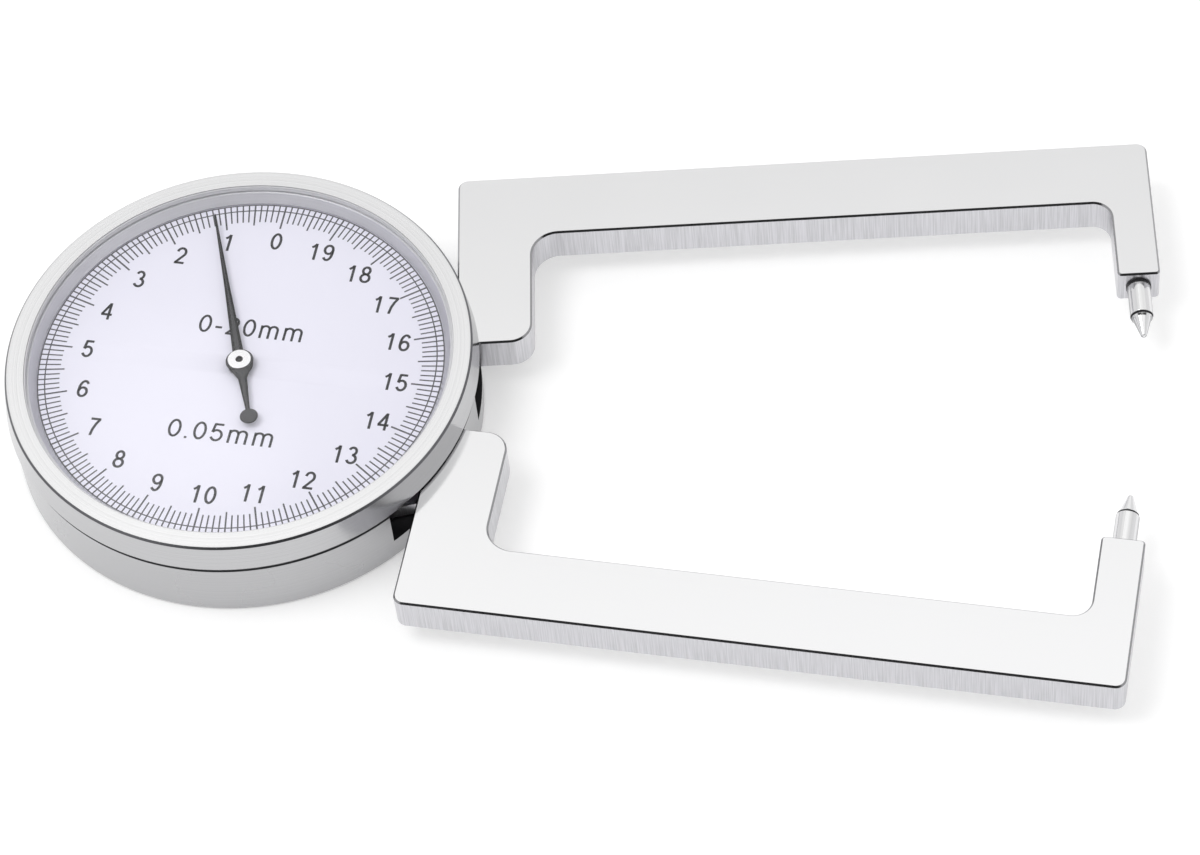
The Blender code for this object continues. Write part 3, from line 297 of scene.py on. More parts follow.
finishes = {
    # Arm: a bright top over darker ground sides, partly its polish and partly painted light; its
    # chamfers painted dark as a painted reflection
    "arm": {
        "top": (0.9, 0.9, 0.905), "topShade": 0.985, "topRough": 0.08, "wear": 0.08,
        "sideDark": (0.53, 0.53, 0.55), "sideLight": (0.67, 0.665, 0.695), "sideRough": 0.28,
        "edge": (0.32, 0.32, 0.33), "stretch": (1.0, 1.0, 0.02), "scale": 8000.0,
        "smudge": 90.0, "bump": 0.006, "bumpStrength": 0.3},
    # Pin: its upper side painted near white as a painted highlight, its flanks painted dark as
    # painted shade
    "pin": {
        "top": (0.95, 0.95, 0.95), "topShade": 0.96, "topRough": 0.1, "wear": 0.06,
        "sideDark": (0.3, 0.3, 0.31), "sideLight": (0.45, 0.45, 0.46), "sideRough": 0.14,
        "edge": (0.74, 0.74, 0.75), "stretch": (0.05, 1.0, 0.05), "scale": 5000.0,
        "smudge": 300.0, "bump": 0.006, "bumpStrength": 0.2},
    # Bezel: its top painted lighter than its side as a painted highlight, its chamfers painted near
    # black as a painted reflection
    "bezel": {
        "dark": (0.44, 0.44, 0.45), "light": (0.57, 0.57, 0.58), "top": (0.87, 0.87, 0.875),
        "edge": (0.14, 0.14, 0.15), "bands": 1300.0, "bandShade": 0.94, "rough": 0.14,
        "wear": 0.08, "pitch": 9000.0, "smudge": 80.0, "bump": 0.008, "bumpStrength": 0.2},
    "rehaut": {
        "dark": (0.6, 0.6, 0.62), "light": (0.69, 0.69, 0.71), "rough": 0.3, "wear": 0.08,
        "pitch": 5000.0, "smudge": 80.0, "bump": 0.003, "bumpStrength": 0.1},
    # Drum: its top painted lighter than its side as a painted highlight, its chamfers painted near
    # black as a painted reflection
    "drum": {
        "dark": (0.42, 0.42, 0.43), "light": (0.54, 0.54, 0.55), "top": (0.7, 0.7, 0.71),
        "edge": (0.16, 0.16, 0.17), "bands": 1300.0, "bandShade": 0.9, "rough": 0.22,
        "wear": 0.1, "pitch": 7000.0, "smudge": 70.0, "bump": 0.01, "bumpStrength": 0.25},
    "back": {
        "dark": (0.54, 0.54, 0.56), "light": (0.7, 0.7, 0.72), "rough": 0.3, "wear": 0.12,
        "pitch": 3500.0, "smudge": 60.0, "bump": 0.012, "bumpStrength": 0.4},
    "boss": {
        "dark": (0.86, 0.86, 0.87), "light": (0.95, 0.95, 0.96), "rough": 0.12, "wear": 0.06,
        "pitch": 9000.0, "smudge": 300.0, "bump": 0.004, "bumpStrength": 0.3},
    "screw": {
        "dark": (0.4, 0.4, 0.42), "light": (0.6, 0.6, 0.62), "rough": 0.25, "wear": 0.1,
        "pitch": 9000.0, "smudge": 300.0, "bump": 0.005, "bumpStrength": 0.3},
    "blued": {
        "dark": (0.06, 0.06, 0.08), "light": (0.13, 0.13, 0.16), "rough": 0.3, "wear": 0.1,
        "pitch": 6000.0, "smudge": 300.0, "bump": 0.005, "bumpStrength": 0.3},
    "trainBrass": {
        "dark": (0.6, 0.42, 0.17), "light": (0.78, 0.58, 0.27), "rough": 0.28, "wear": 0.1,
        "pitch": 6000.0, "smudge": 150.0, "bump": 0.006, "bumpStrength": 0.3},
    "dial": {
        "color": (0.79, 0.78, 0.885), "shade": 0.975, "rough": 0.55, "gloss": 0.5,
        "grain": 6000.0, "smudge": 40.0, "bump": 0.002},
    "print": {
        "color": (0.035, 0.035, 0.04), "shade": 0.8, "rough": 0.5, "gloss": 0.2,
        "grain": 9000.0, "smudge": 200.0, "bump": 0.001},
    "tick": {
        "color": (0.1, 0.1, 0.112), "shade": 0.8, "rough": 0.5, "gloss": 0.2,
        "grain": 9000.0, "smudge": 200.0, "bump": 0.001},
    # Hand: its slopes and sides painted near black, darker than its flat top, as painted shade
    "handPaint": {
        "color": (0.055, 0.055, 0.06), "edge": (0.005, 0.005, 0.006), "edgeLift": 1.5,
        "shade": 0.9, "rough": 0.4, "gloss": 0.25, "grain": 5000.0, "smudge": 200.0,
        "bump": 0.002},
    "gasket": {
        "color": (0.66, 0.66, 0.68), "shade": 0.95, "rough": 0.6, "gloss": 0.5,
        "grain": 9000.0, "smudge": 300.0, "bump": 0.002},
    # Painted shade: black for the shade inside the drum and its mouths, under the bezel, in the
    # pins' grooves and at their bases, and at the centre arbor in the boss's hole
    "blackened": {
        "color": (0.014, 0.014, 0.016), "shade": 0.8, "rough": 0.42, "gloss": 0.3,
        "grain": 5000.0, "smudge": 200.0, "bump": 0.002},
    "crystal": {"ior": 1.35, "rough": 0.0},
}

armSteel = groundSteel("groundArmSteel", finishes["arm"])
pinSteel = groundSteel("anvilPinSteel", finishes["pin"])
bezelSteel = turnedSteel("bezelPlating", finishes["bezel"])
rehautSteel = turnedSteel("rehautSteel", finishes["rehaut"])
drumSteel = turnedSteel("drumSteel", finishes["drum"])
backSteel = turnedSteel("backPlateSteel", finishes["back"])
bossSteel = turnedSteel("bossPlating", finishes["boss"])
screwSteel = turnedSteel("screwSteel", finishes["screw"])
bluedSteel = turnedSteel("bluedSteel", finishes["blued"])
trainBrass = turnedSteel("trainBrass", finishes["trainBrass"])
dialPaint = paintedFace("dialPaint", finishes["dial"])
printInk = paintedFace("figureInk", finishes["print"])
tickInk = paintedFace("tickInk", finishes["tick"])
handPaint = paintedFace("handPaint", finishes["handPaint"])
gasketRubber = paintedFace("gasketRubber", finishes["gasket"])
# Black paint that stands for shade in recesses and gaps
shadeBlackFinish = paintedFace("shadeBlackSteel", finishes["blackened"])
crystalClear = clearCrystal("clearCrystal", finishes["crystal"])
print("finishes made")


# Mesh helpers

# The gap that closes between points, the angle over which an edge stays sharp, and the angle
# over which a profile's corner is left as it is. A rounding takes a share of a side at most,
# has these steps, and holds a ring this far outside it
meshing = {
    "mergeGap": 0.0005, "sharpAngle": 30, "straightAngle": 176, "roundingShare": 0.4,
    "cornerSteps": 3, "hold": 0.012,
}


def newObject(name, data):
    made = bpy.data.objects.new(name, data)
    bpy.context.scene.collection.objects.link(made)
    return made


def removeObject(piece):
    bpy.data.objects.remove(piece, do_unlink=True)


def keepSharp(mesh, angle=meshing["sharpAngle"]):
    mesh.shade_smooth()
    mesh.set_sharp_from_angle(angle=math.radians(angle))


def evaluatedMesh(piece):
    # A plain mesh of an object with its modifiers
    bpy.context.view_layer.update()
    graph = bpy.context.evaluated_depsgraph_get()
    return bpy.data.meshes.new_from_object(piece.evaluated_get(graph))


def shapeObject(name, shape, material, sharpAngle=meshing["sharpAngle"]):
    mesh = bpy.data.meshes.new(name)
    shape.to_mesh(mesh)
    shape.free()
    mesh.materials.append(material)
    keepSharp(mesh, sharpAngle)
    return newObject(name, mesh)


def finishMesh(name, shape, material, place=None, sharpAngle=meshing["sharpAngle"]):
    # Turns a bmesh in millimetres into an object in metres with its place in its mesh
    bmesh.ops.remove_doubles(shape, verts=shape.verts, dist=meshing["mergeGap"])
    bmesh.ops.recalc_face_normals(shape, faces=shape.faces)
    if place:
        shape.transform(place)
    shape.transform(Matrix.Scale(mm, 4))
    return shapeObject(name, shape, material, sharpAngle)


def closeRows(shape, rows, looped):
    # Faces between rows of points and over the open ends. A row of one point is a tip
    pairs = list(zip(rows, rows[1:]))
    if looped:
        pairs.append((rows[-1], rows[0]))
    for one, two in pairs:
        count = max(len(one), len(two))
        for i in range(count):
            j = (i + 1) % count
            corners = (one[i % len(one)], one[j % len(one)], two[j % len(two)], two[i % len(two)])
            unique = list(dict.fromkeys(corners))
            if len(unique) > 2:
                shape.faces.new(unique)
    if not looped:
        for row in (rows[0], rows[-1]):
            if len(row) > 2:
                shape.faces.new(row)


def lathe(profile, steps):
    # A closed solid from (radius, height) points that begin and end on the axis or close up
    shape = bmesh.new()
    turns = [2 * math.pi * i / steps for i in range(steps)]
    rings = []
    for radius, height in profile:
        spots = [(radius * math.cos(a), radius * math.sin(a), height) for a in turns]
        rings.append([shape.verts.new(spot) for spot in (spots if radius else spots[:1])])
    closeRows(shape, rings, profile[0][0] > 0)
    return shape


def cornerWays(points, i):
    # A corner of an outline and the ways back and ahead from it
    here, before, after = (Vector(points[k % len(points)][:2]) for k in (i, i - 1, i + 1))
    return here, before - here, after - here


def eased(profile, radius, steps, hold):
    # Rounds the corners of a profile; a point may carry its own radius as a third value.
    # A ring just outside each rounding keeps the flat faces flat
    points = []
    ends = () if profile[0][0] > 0 else (0, len(profile) - 1)
    for i, point in enumerate(profile):
        here, back, ahead = cornerWays(profile, i)
        size = point[2] if len(point) > 2 else radius
        if size == 0 or i in ends or back.angle(ahead) > math.radians(meshing["straightAngle"]):
            points.append(tuple(here))
            continue
        most = min(back.length, ahead.length) * meshing["roundingShare"]
        reach = min(size / math.tan(back.angle(ahead) / 2), most)
        start = here + back.normalized() * reach
        end = here + ahead.normalized() * reach
        points.append(tuple(start + back.normalized() * hold))
        for share in (k / steps for k in range(steps + 1)):
            curve = start * (1 - share) ** 2 + here * 2 * share * (1 - share) + end * share ** 2
            points.append(tuple(curve))
        points.append(tuple(end + ahead.normalized() * hold))
    return points


def turnedPiece(name, look, material, place=None):
    # A turned solid from a look's profile, whose corners have its corner radius
    values = {**meshing, **look}
    corner = (values["corner"], values["cornerSteps"], values["hold"])
    return finishMesh(name, lathe(eased(look["profile"], *corner), look["steps"]), material, place)


def rounded(corners, steps):
    # A flat outline whose corners (x, y, radius) are rounded with arcs
    outline = []
    for i, (x, y, radius) in enumerate(corners):
        if not radius:
            outline.append((x, y))
            continue
        here, back, ahead = cornerWays(corners, i)
        half = back.angle(ahead) / 2
        back, ahead = back.normalized(), ahead.normalized()
        middle = here + (back + ahead).normalized() * radius / math.sin(half)
        reach = radius / math.tan(half)
        start = here + back * reach - middle
        sweep = -start.angle_signed(here + ahead * reach - middle)
        for k in range(steps + 1):
            outline.append(tuple(middle + Matrix.Rotation(sweep * k / steps, 2) @ start))
    return outline


def circle(radius, at, steps):
    return [polar(radius, 360 * i / steps, at) for i in range(steps)]


def flatPlate(loops, low, high, edge=0.0, edgeSteps=0):
    # An outline with holes between two heights, its edges rounded by the curve's own bevel
    curve = bpy.data.curves.new("outline", "CURVE")
    curve.dimensions = "2D"
    curve.fill_mode = "BOTH"
    curve.extrude = (high - low) / 2 - edge
    curve.bevel_depth = edge
    curve.bevel_resolution = edgeSteps
    curve.offset = -edge
    for loop in loops:
        spline = curve.splines.new("POLY")
        spline.points.add(len(loop) - 1)
        for point, (x, y) in zip(spline.points, loop):
            point.co = (x, y, 0, 1)
        spline.use_cyclic_u = True
    holder = newObject("outline", curve)
    flat = evaluatedMesh(holder)
    shape = bmesh.new()
    shape.from_mesh(flat)
    bmesh.ops.translate(shape, vec=(0, 0, (low + high) / 2), verts=shape.verts)
    removeObject(holder)
    bpy.data.curves.remove(curve)
    bpy.data.meshes.remove(flat)
    return shape


def roundPlate(name, look, material, at=(0, 0)):
    # A round plate with a round hole
    loops = [circle(look["radius"], at, look["steps"]), circle(look["hole"], at, look["holeSteps"])]
    shape = flatPlate(loops, look["low"], look["high"], look["edge"], look["edgeSteps"])
    return finishMesh(name, shape, material)


def cutAway(piece, tools):
    # Cuts the tools out of a piece and leaves a plain mesh
    for tool in tools:
        cut = piece.modifiers.new("cut", "BOOLEAN")
        cut.operation = "DIFFERENCE"
        cut.solver = "EXACT"
        cut.object = tool
    uncut, piece.data = piece.data, evaluatedMesh(piece)
    piece.modifiers.clear()
    bpy.data.meshes.remove(uncut)
    for tool in tools:
        removeObject(tool)
    keepSharp(piece.data)


def settle(piece, body, *nodes):
    # Lets a piece ride its body and stand for its nodes
    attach(piece, body)
    if nodes:
        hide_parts(*nodes)


def joined(name, pieces, material, body, *nodes):
    # Joins finished pieces into one mesh and settles it
    shape = bmesh.new()
    for piece in pieces:
        shape.from_mesh(piece.data)
        removeObject(piece)
    made = shapeObject(name, shape, material)
    settle(made, body, *nodes)
    return made


def secondFinish(piece, finish, test, place=None):
    # Gives the faces that pass a test on their radius and height a second finish
    piece.data.materials.append(finish)
    back = (place or Matrix()).inverted()
    for face in piece.data.polygons:
        center = back @ (face.center / mm)
        if test(math.hypot(center.x, center.y), center.z):
            face.material_index = 1


def geometryPiece(name, points, tree, values, material, body):
    # Evaluates a Geometry Nodes tree on some points into a plain mesh
    base = bpy.data.meshes.new("points")
    base.from_pydata([Vector(point) * mm for point in points], [], [])
    holder = newObject(name + "Points", base)
    modifier = holder.modifiers.new("repeat", "NODES")
    modifier.node_group = tree
    for item in tree.interface.items_tree:
        if item.in_out == "INPUT" and item.name in values:
            modifier[item.identifier] = values[item.name]
    mesh = evaluatedMesh(holder)
    mesh.name = name
    removeObject(holder)
    mesh.materials.clear()
    mesh.materials.append(material)
    piece = newObject(name, mesh)
    settle(piece, body)
    return piece


# Camera, floor, world and lamps

studio = {
    "eye": (118.84392821, -267.62926955, 387.80582789), "turn": (35.852238, 4.169518, 10.604049),
    "lens": 129.00918, "sensor": 36, "nearest": 10,
    "floorLevel": -0.02, "floorSize": 3000, "floorColor": 0.8, "floorRough": 0.9,
    "floorWear": (0.99, 1.01), "floorSmudge": 3.0, "floorGlow": 0.3,
    "lampPlace": (-260, -120, 700), "lampSize": 400, "lampPower": 1.5,
    "sky": [
        (0.0, 0.95), (0.5, 0.9), (0.72, 0.8), (0.766, 0.82), (0.84, 1.06), (0.93, 1.0),
        (1.0, 0.97)],
    "glareWay": (-0.2628, 0.5403, 0.7993), "glareSize": (2.2, 0.5), "glare": 0.9,
    "flagWay": (0.26, -0.966, 0), "flagLow": (0.43, 0.49), "flagHigh": (0.65, 0.71),
    "flagSides": (0.45, 0.7), "flagDepth": 0.95,
}


def placeCamera():
    lens = bpy.data.cameras.new("camera")
    lens.lens = studio["lens"]
    lens.sensor_width = studio["sensor"]
    lens.sensor_fit = "HORIZONTAL"
    lens.clip_start = studio["nearest"] * mm
    camera = newObject("camera", lens)
    camera.location = Vector(studio["eye"]) * mm
    camera.rotation_euler = [math.radians(angle) for angle in studio["turn"]]
    bpy.context.scene.camera = camera
    bpy.context.scene.view_settings.view_transform = "Standard"


def skyLight():
    # A plain studio sky, bright above, with a dark flag behind the lens for crisp metal edges
    # and a small glare
    world = bpy.data.worlds.new("studioSky")
    world.use_nodes = True
    tree = world.node_tree
    way = addNode(tree, "ShaderNodeTexCoord").outputs["Generated"]
    height = addNode(tree, "ShaderNodeSeparateXYZ", {0: way}).outputs["Z"]
    ramp = addNode(tree, "ShaderNodeValToRGB", {"Fac": height})
    steps = ramp.color_ramp.elements
    while len(steps) < len(studio["sky"]):
        steps.new(0.5)
    for step, (position, level) in zip(steps, studio["sky"]):
        step.position = position
        step.color = (level, level, level, 1)
    level = vectorNode(tree, "MULTIPLY", way, (1, 1, 0))[0]
    flat = vectorNode(tree, "NORMALIZE", level)[0]
    toFlag = vectorNode(tree, "DOT_PRODUCT", flat, studio["flagWay"])["Value"]
    masks = (
        fadeNode(tree, height, *studio["flagLow"]),
        fadeNode(tree, height, *studio["flagHigh"], 1.0, 0.0),
        fadeNode(tree, toFlag, *studio["flagSides"]))
    flag = studio["flagDepth"]
    for mask in masks:
        flag = mathNode(tree, "MULTIPLY", mask, flag)
    toGlare = vectorNode(tree, "DOT_PRODUCT", way, studio["glareWay"])["Value"]
    limits = (math.cos(math.radians(size)) for size in studio["glareSize"])
    glare = fadeNode(tree, toGlare, *limits, 0.0, studio["glare"])
    strength = mathNode(tree, "ADD", mathNode(tree, "SUBTRACT", 1.0, flag), glare)
    feed(tree, tree.nodes["Background"], {"Color": ramp.outputs["Color"], "Strength": strength})
    bpy.context.scene.world = world


def floorMaterial():
    # Pale paper that glows a little to the lens, to metal and through glass
    tone = [studio["floorColor"]] * 3
    made, tree, shader = baseMaterial("palePaper", tone, 0.0, studio["floorRough"])
    wear = groupNode(tree, groundLines, smudge=studio["floorSmudge"])["Wear"]
    low, high = (shaded(tone, share) for share in studio["floorWear"])
    feed(tree, shader, {
        "Base Color": colorMix(tree, wear, low, high), "Specular IOR Level": 0.0})
    path = addNode(tree, "ShaderNodeLightPath").outputs
    seen = path["Is Camera Ray"]
    for ray in ("Is Glossy Ray", "Is Transmission Ray"):
        seen = mathNode(tree, "MAXIMUM", seen, path[ray])
    strength = mathNode(tree, "MULTIPLY", seen, studio["floorGlow"])
    glow = addNode(tree, "ShaderNodeEmission", {"Strength": strength})
    both = addNode(tree, "ShaderNodeAddShader", {0: shader.outputs["BSDF"], 1: glow.outputs[0]})
    feed(tree, tree.nodes["Material Output"], {"Surface": both.outputs[0]})
    return made


def floorPlane():
    half = studio["floorSize"] / 2 * mm
    low = studio["floorLevel"] * mm
    corners = [(-half, -half, low), (half, -half, low), (half, half, low), (-half, half, low)]
    mesh = bpy.data.meshes.new("floor")
    mesh.from_pydata(corners, [], [(0, 1, 2, 3)])
    mesh.materials.append(floorMaterial())
    newObject("floor", mesh)


def softLamp():
    light = bpy.data.lights.new("softLamp", "AREA")
    light.shape = "DISK"
    light.size = studio["lampSize"] * mm
    light.energy = studio["lampPower"]
    lamp = newObject("softLamp", light)
    lamp.location = Vector(studio["lampPlace"]) * mm
    lamp.rotation_euler = (-lamp.location).to_track_quat("-Z", "Y").to_euler()


placeCamera()
skyLight()
floorPlane()
softLamp()
print("studio made")


# Case drum, back plate and back screws

drum = {
    "profile": [
        (25.2, 8.4, 0.05), (25.2, 8.26, 0), (25.0, 8.26, 0), (25.0, 7.84, 0), (25.2, 7.84, 0),
        (25.2, 7.55, 0), (26.0, 7.55, 0.02), (26.3, 7.2, 0.02), (26.3, 0.25, 0.06),
        (26.05, 0, 0.06), (25.2, 0, 0.05), (25.2, 1.8, 0), (24.0, 1.8, 0), (24.0, 8.4, 0.05)],
    "corner": 0.1, "steps": 224,
    "mouthLow": 2.8, "mouthHigh": 7.65, "mouthAngle": 39.2, "mouthRadii": (22, 28.3),
    "webLow": -3.8, "webHigh": 0.6, "blackFrom": 0.3, "blackWithin": 25.95, "blackAbove": 7.22,
    "lugRing": 22.6, "lugAngles": (75, 140, 220, 285),
}
lug = {
    "radius": 1.98, "steps": 48, "hole": 0.75, "holeSteps": 24, "low": 1.8, "high": 4.6,
    "edge": 0.1, "edgeSteps": 2,
}
backPlate = {
    "profile": [(0, 0), (25.0, 0, 0.15), (25.0, 1.5, 0.1), (0, 1.5)], "corner": 0.1, "steps": 192,
}
screwSeat = {
    "profile": [(0, -1), (1.6, -1), (1.6, 0.05), (0.7, 0.95), (0.7, 3), (0, 3)], "corner": 0,
    "steps": 40,
}
armPad = {
    "radius": 2.6, "steps": 48, "hole": 1.05, "holeSteps": 24, "low": 1.3, "high": 2.8,
    "edge": 0.1, "edgeSteps": 2, "spots": ((10.0, -13.0), (17.0, -10.0)),
}
backScrew = {
    "profile": [(0, 0.05), (1.5, 0.05, 0.06), (0.6, 0.95, 0.05), (0.6, 3.8, 0.1), (0, 3.8)],
    "corner": 0.05, "steps": 40, "slotHalf": (3, 0.25), "slotLow": -1, "slotHigh": 0.65,
}
lugSpots = [polar(drum["lugRing"], angle) for angle in drum["lugAngles"]]


def isDrumShade(radius, height):
    # Painted shade: the drum's inside, its mouths and the chamfer under the bezel are painted black
    # for the shade in them
    return height > drum["blackFrom"] and (
        radius < drum["blackWithin"] or height > drum["blackAbove"])


def makeDrum():
    wall = turnedPiece("drumWall", drum, drumSteel)
    angle, low, high = drum["mouthAngle"], drum["webLow"], drum["webHigh"]
    near, far = drum["mouthRadii"]
    outlines = (
        [polar(near, -angle), polar(far, -angle), (far, low), (near, low)],
        [(near, high), (far, high), polar(far, angle), polar(near, angle)])
    shapes = [flatPlate([line], drum["mouthLow"], drum["mouthHigh"]) for line in outlines]
    cutAway(wall, [finishMesh("mouth", shape, drumSteel) for shape in shapes])
    lugs = [roundPlate("lug", lug, drumSteel, spot) for spot in lugSpots]
    made = joined("caseDrum", [wall, *lugs], drumSteel, "case", "case_drum")
    secondFinish(made, shadeBlackFinish, isDrumShade)


def makeBack():
    lid = turnedPiece("lid", backPlate, backSteel)
    places = [Matrix.Translation((*spot, 0)) for spot in lugSpots]
    cutAway(lid, [turnedPiece("seat", screwSeat, backSteel, place) for place in places])
    pads = [roundPlate("pad", armPad, backSteel, spot) for spot in armPad["spots"]]
    joined("backPlate", [lid, *pads], backSteel, "case", "back_plate")


def pointTurn(tree):
    # The angle of each point about the case's axis, as a rotation
    place = addNode(tree, "GeometryNodeInputPosition").outputs[0]
    spot = addNode(tree, "ShaderNodeSeparateXYZ", {0: place}).outputs
    angle = mathNode(tree, "ARCTAN2", spot["Y"], spot["X"])
    return addNode(tree, "ShaderNodeCombineXYZ", {"Z": angle}).outputs[0]


def spreadCopies(tree, points, copied, finish):
    # Ends a tree: a copy turned to each point, made real and given its finish
    spread = addNode(tree, "GeometryNodeInstanceOnPoints", {
        "Points": points, "Instance": copied, "Rotation": pointTurn(tree)})
    real = addNode(tree, "GeometryNodeRealizeInstances", {
        "Geometry": spread.outputs["Instances"]})
    paint = addNode(tree, "GeometryNodeSetMaterial", {
        "Geometry": real.outputs["Geometry"], "Material": finish})
    addNode(tree, "NodeGroupOutput", {"Geometry": paint.outputs["Geometry"]})
    return tree


def repeatTree(name, inputs):
    inputs = {"Geometry": ("Geometry", None), **inputs}
    return newGroup(name, "GeometryNodeTree", inputs, {"Geometry": ("Geometry", None)})


def screwTree():
    # Copies one screw to each point, its slot turned along the line from the centre
    tree, given = repeatTree("screwsOnPoints", {
        "Screw": ("Object", None), "Finish": ("Material", None)})
    source = addNode(tree, "GeometryNodeObjectInfo", {"Object": given["Screw"]})
    return spreadCopies(tree, given["Geometry"], source.outputs["Geometry"], given["Finish"])


def makeBackScrews():
    screw = turnedPiece("screwPattern", backScrew, screwSteel)
    x, y = backScrew["slotHalf"]
    outline = [(-x, -y), (x, -y), (x, y), (-x, y)]
    slot = flatPlate([outline], backScrew["slotLow"], backScrew["slotHigh"])
    cutAway(screw, [finishMesh("slot", slot, screwSteel)])
    values = {"Screw": screw, "Finish": screwSteel}
    spots = [(*spot, 0) for spot in lugSpots]
    made = geometryPiece("backScrews", spots, screwTree(), values, screwSteel, "case")
    keepSharp(made.data)
    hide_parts(*[f"back_screw_{i + 1}" for i in range(len(spots))])
    removeObject(screw)


makeDrum()
makeBack()
makeBackScrews()
print("case made")


# Bezel, crystal and dial

bezel = {
    "profile": [
        (23.9, 11.3, 0.05), (25.82, 11.3, 0.012), (26.04, 11.06, 0.012), (26.5, 8.0, 0.1),
        (26.4, 7.75, 0.08), (25.3, 7.75, 0.05), (25.3, 7.84, 0), (25.5, 7.84, 0),
        (25.5, 8.26, 0), (25.3, 8.26, 0), (25.3, 8.6, 0), (24.5, 8.6, 0), (24.5, 9.05, 0),
        (22.78, 9.05, 0.06), (23.5, 10.3, 0.05), (23.9, 10.3, 0)],
    "corner": 0.1, "steps": 256, "wallWithin": 23.92, "wallBelow": 11.25,
}
crystal = {
    "profile": [(0, 10.4), (23.75, 10.4, 0.03), (23.75, 11.1, 0.04), (0, 11.1)], "corner": 0.1,
    "steps": 192, "sealFrom": 23.73,
}
gasket = {
    "profile": [(23.9, 11.16), (23.9, 10.32), (23.76, 10.32), (23.76, 11.16)], "corner": 0.02,
    "cornerSteps": 2, "hold": 0.004, "steps": 192,
}
dialPlate = {
    "radius": 24.3, "steps": 192, "hole": 1.2, "holeSteps": 48, "low": 8.55, "high": 8.95,
    "edge": 0.03, "edgeSteps": 1,
}
ringLines = {
    "radii": (21.9, 22.7), "width": 0.14, "low": 8.952, "high": 8.962, "steps": 192,
    "holeSteps": 192, "edge": 0, "edgeSteps": 0,
}
tickRows = [
    {"name": "longTicks", "count": 20, "inner": 19.42, "width": 0.2, "skip": 0, "turn": 0},
    {"name": "halfTicks", "count": 20, "inner": 19.78, "width": 0.18, "skip": 0, "turn": 9},
    {"name": "fineTicks", "count": 200, "inner": 20.25, "width": 0.16, "skip": 5, "turn": 0},
]
# The strokes are given by half their width. The last value keeps a sharp turn's mitre short
figures = {
    "count": 20, "ring": 17.6, "height": 2.35, "halfStroke": 0.15, "spacing": 0.13,
    "level": 8.952, "thick": 0.012, "words": (("0-20mm", (0, 5.2)), ("0.05mm", (0, -9.3))),
    "wordWidth": 12.1, "wordHeight": 2.45, "wordHalfStroke": 0.14, "bowStep": 18,
    "closeGap": 0.001, "sharpestMitre": 0.5,
}


def makeBezel():
    ring = turnedPiece("bezelRing", bezel, bezelSteel)
    secondFinish(ring, rehautSteel, lambda radius, height: (
        radius < bezel["wallWithin"] and height < bezel["wallBelow"]))
    settle(ring, "bezel", "bezel_ring")
    clear = turnedPiece("crystalDisc", crystal, crystalClear)
    secondFinish(clear, gasketRubber, lambda radius, height: radius > crystal["sealFrom"])
    settle(clear, "bezel", "crystal")
    settle(turnedPiece("crystalGasket", gasket, gasketRubber), "bezel")


def makeDial():
    settle(roundPlate("dialDisc", dialPlate, dialPaint), "bezel", "dial_plate")
    half = ringLines["width"] / 2
    sizes = [{"radius": radius + half, "hole": radius - half} for radius in ringLines["radii"]]
    lines = [roundPlate("line", {**ringLines, **size}, tickInk) for size in sizes]
    joined("ringLines", lines, tickInk, "bezel")


def tickTree():
    # Short bars on a ring, a bar left out at each place that a longer one takes
    lengths = ("Inner Radius", "Outer Radius", "Line Width", "Level", "Thickness", "Turn")
    tree, given = repeatTree("dialTicks", {
        "Count": ("Int", 20), **{name: ("Float", 0.0) for name in lengths},
        "Skip Every": ("Int", 0), "Ink": ("Material", None)})
    inner, outer, skip = given["Inner Radius"], given["Outer Radius"], given["Skip Every"]

    def sums(operation, *terms):
        return mathNode(tree, operation, *terms)

    index = addNode(tree, "GeometryNodeInputIndex").outputs[0]
    share = sums("DIVIDE", index, given["Count"])
    angle = sums("ADD", sums("MULTIPLY", share, 2 * math.pi), given["Turn"])
    radius = sums("MULTIPLY", sums("ADD", inner, outer), 0.5)
    spot = addNode(tree, "ShaderNodeCombineXYZ", {
        "X": sums("MULTIPLY", sums("COSINE", angle), radius),
        "Y": sums("MULTIPLY", sums("SINE", angle), radius), "Z": given["Level"]})
    row = addNode(tree, "GeometryNodeMeshLine", {"Count": given["Count"]})
    move = addNode(tree, "GeometryNodeSetPosition", {
        "Geometry": row.outputs[0], "Position": spot.outputs[0]})
    taken = sums("LESS_THAN", sums("MODULO", index, skip), 0.5)
    skipping = sums("GREATER_THAN", skip, 0.5)
    left = addNode(tree, "GeometryNodeDeleteGeometry", {
        "Geometry": move.outputs[0], "Selection": sums("MULTIPLY", taken, skipping)})
    size = addNode(tree, "ShaderNodeCombineXYZ", {
        "X": sums("SUBTRACT", outer, inner), "Y": given["Line Width"], "Z": given["Thickness"]})
    bar = addNode(tree, "GeometryNodeMeshCube", {"Size": size.outputs[0]})
    return spreadCopies(tree, left.outputs[0], bar.outputs["Mesh"], given["Ink"])


def makeTicks():
    # The rows end at the outer ring line
    tree = tickTree()
    level, thick = figures["level"], figures["thick"]
    for row in tickRows:
        values = {
            "Count": row["count"], "Skip Every": row["skip"], "Inner Radius": row["inner"] * mm,
            "Outer Radius": max(ringLines["radii"]) * mm, "Line Width": row["width"] * mm,
            "Level": (level + thick / 2) * mm, "Thickness": thick * mm,
            "Turn": math.radians(90 + row["turn"]), "Ink": tickInk}
        geometryPiece(row["name"], [(0, 0, 0)], tree, values, tickInk, "bezel")


def bow(x, y, across, up, start, end):
    # Part of an ellipse as points
    count = max(2, int(abs(end - start) / figures["bowStep"]))
    turns = [math.radians(start + (end - start) * i / count) for i in range(count + 1)]
    return [(x + across * math.cos(a), y + up * math.sin(a)) for a in turns]


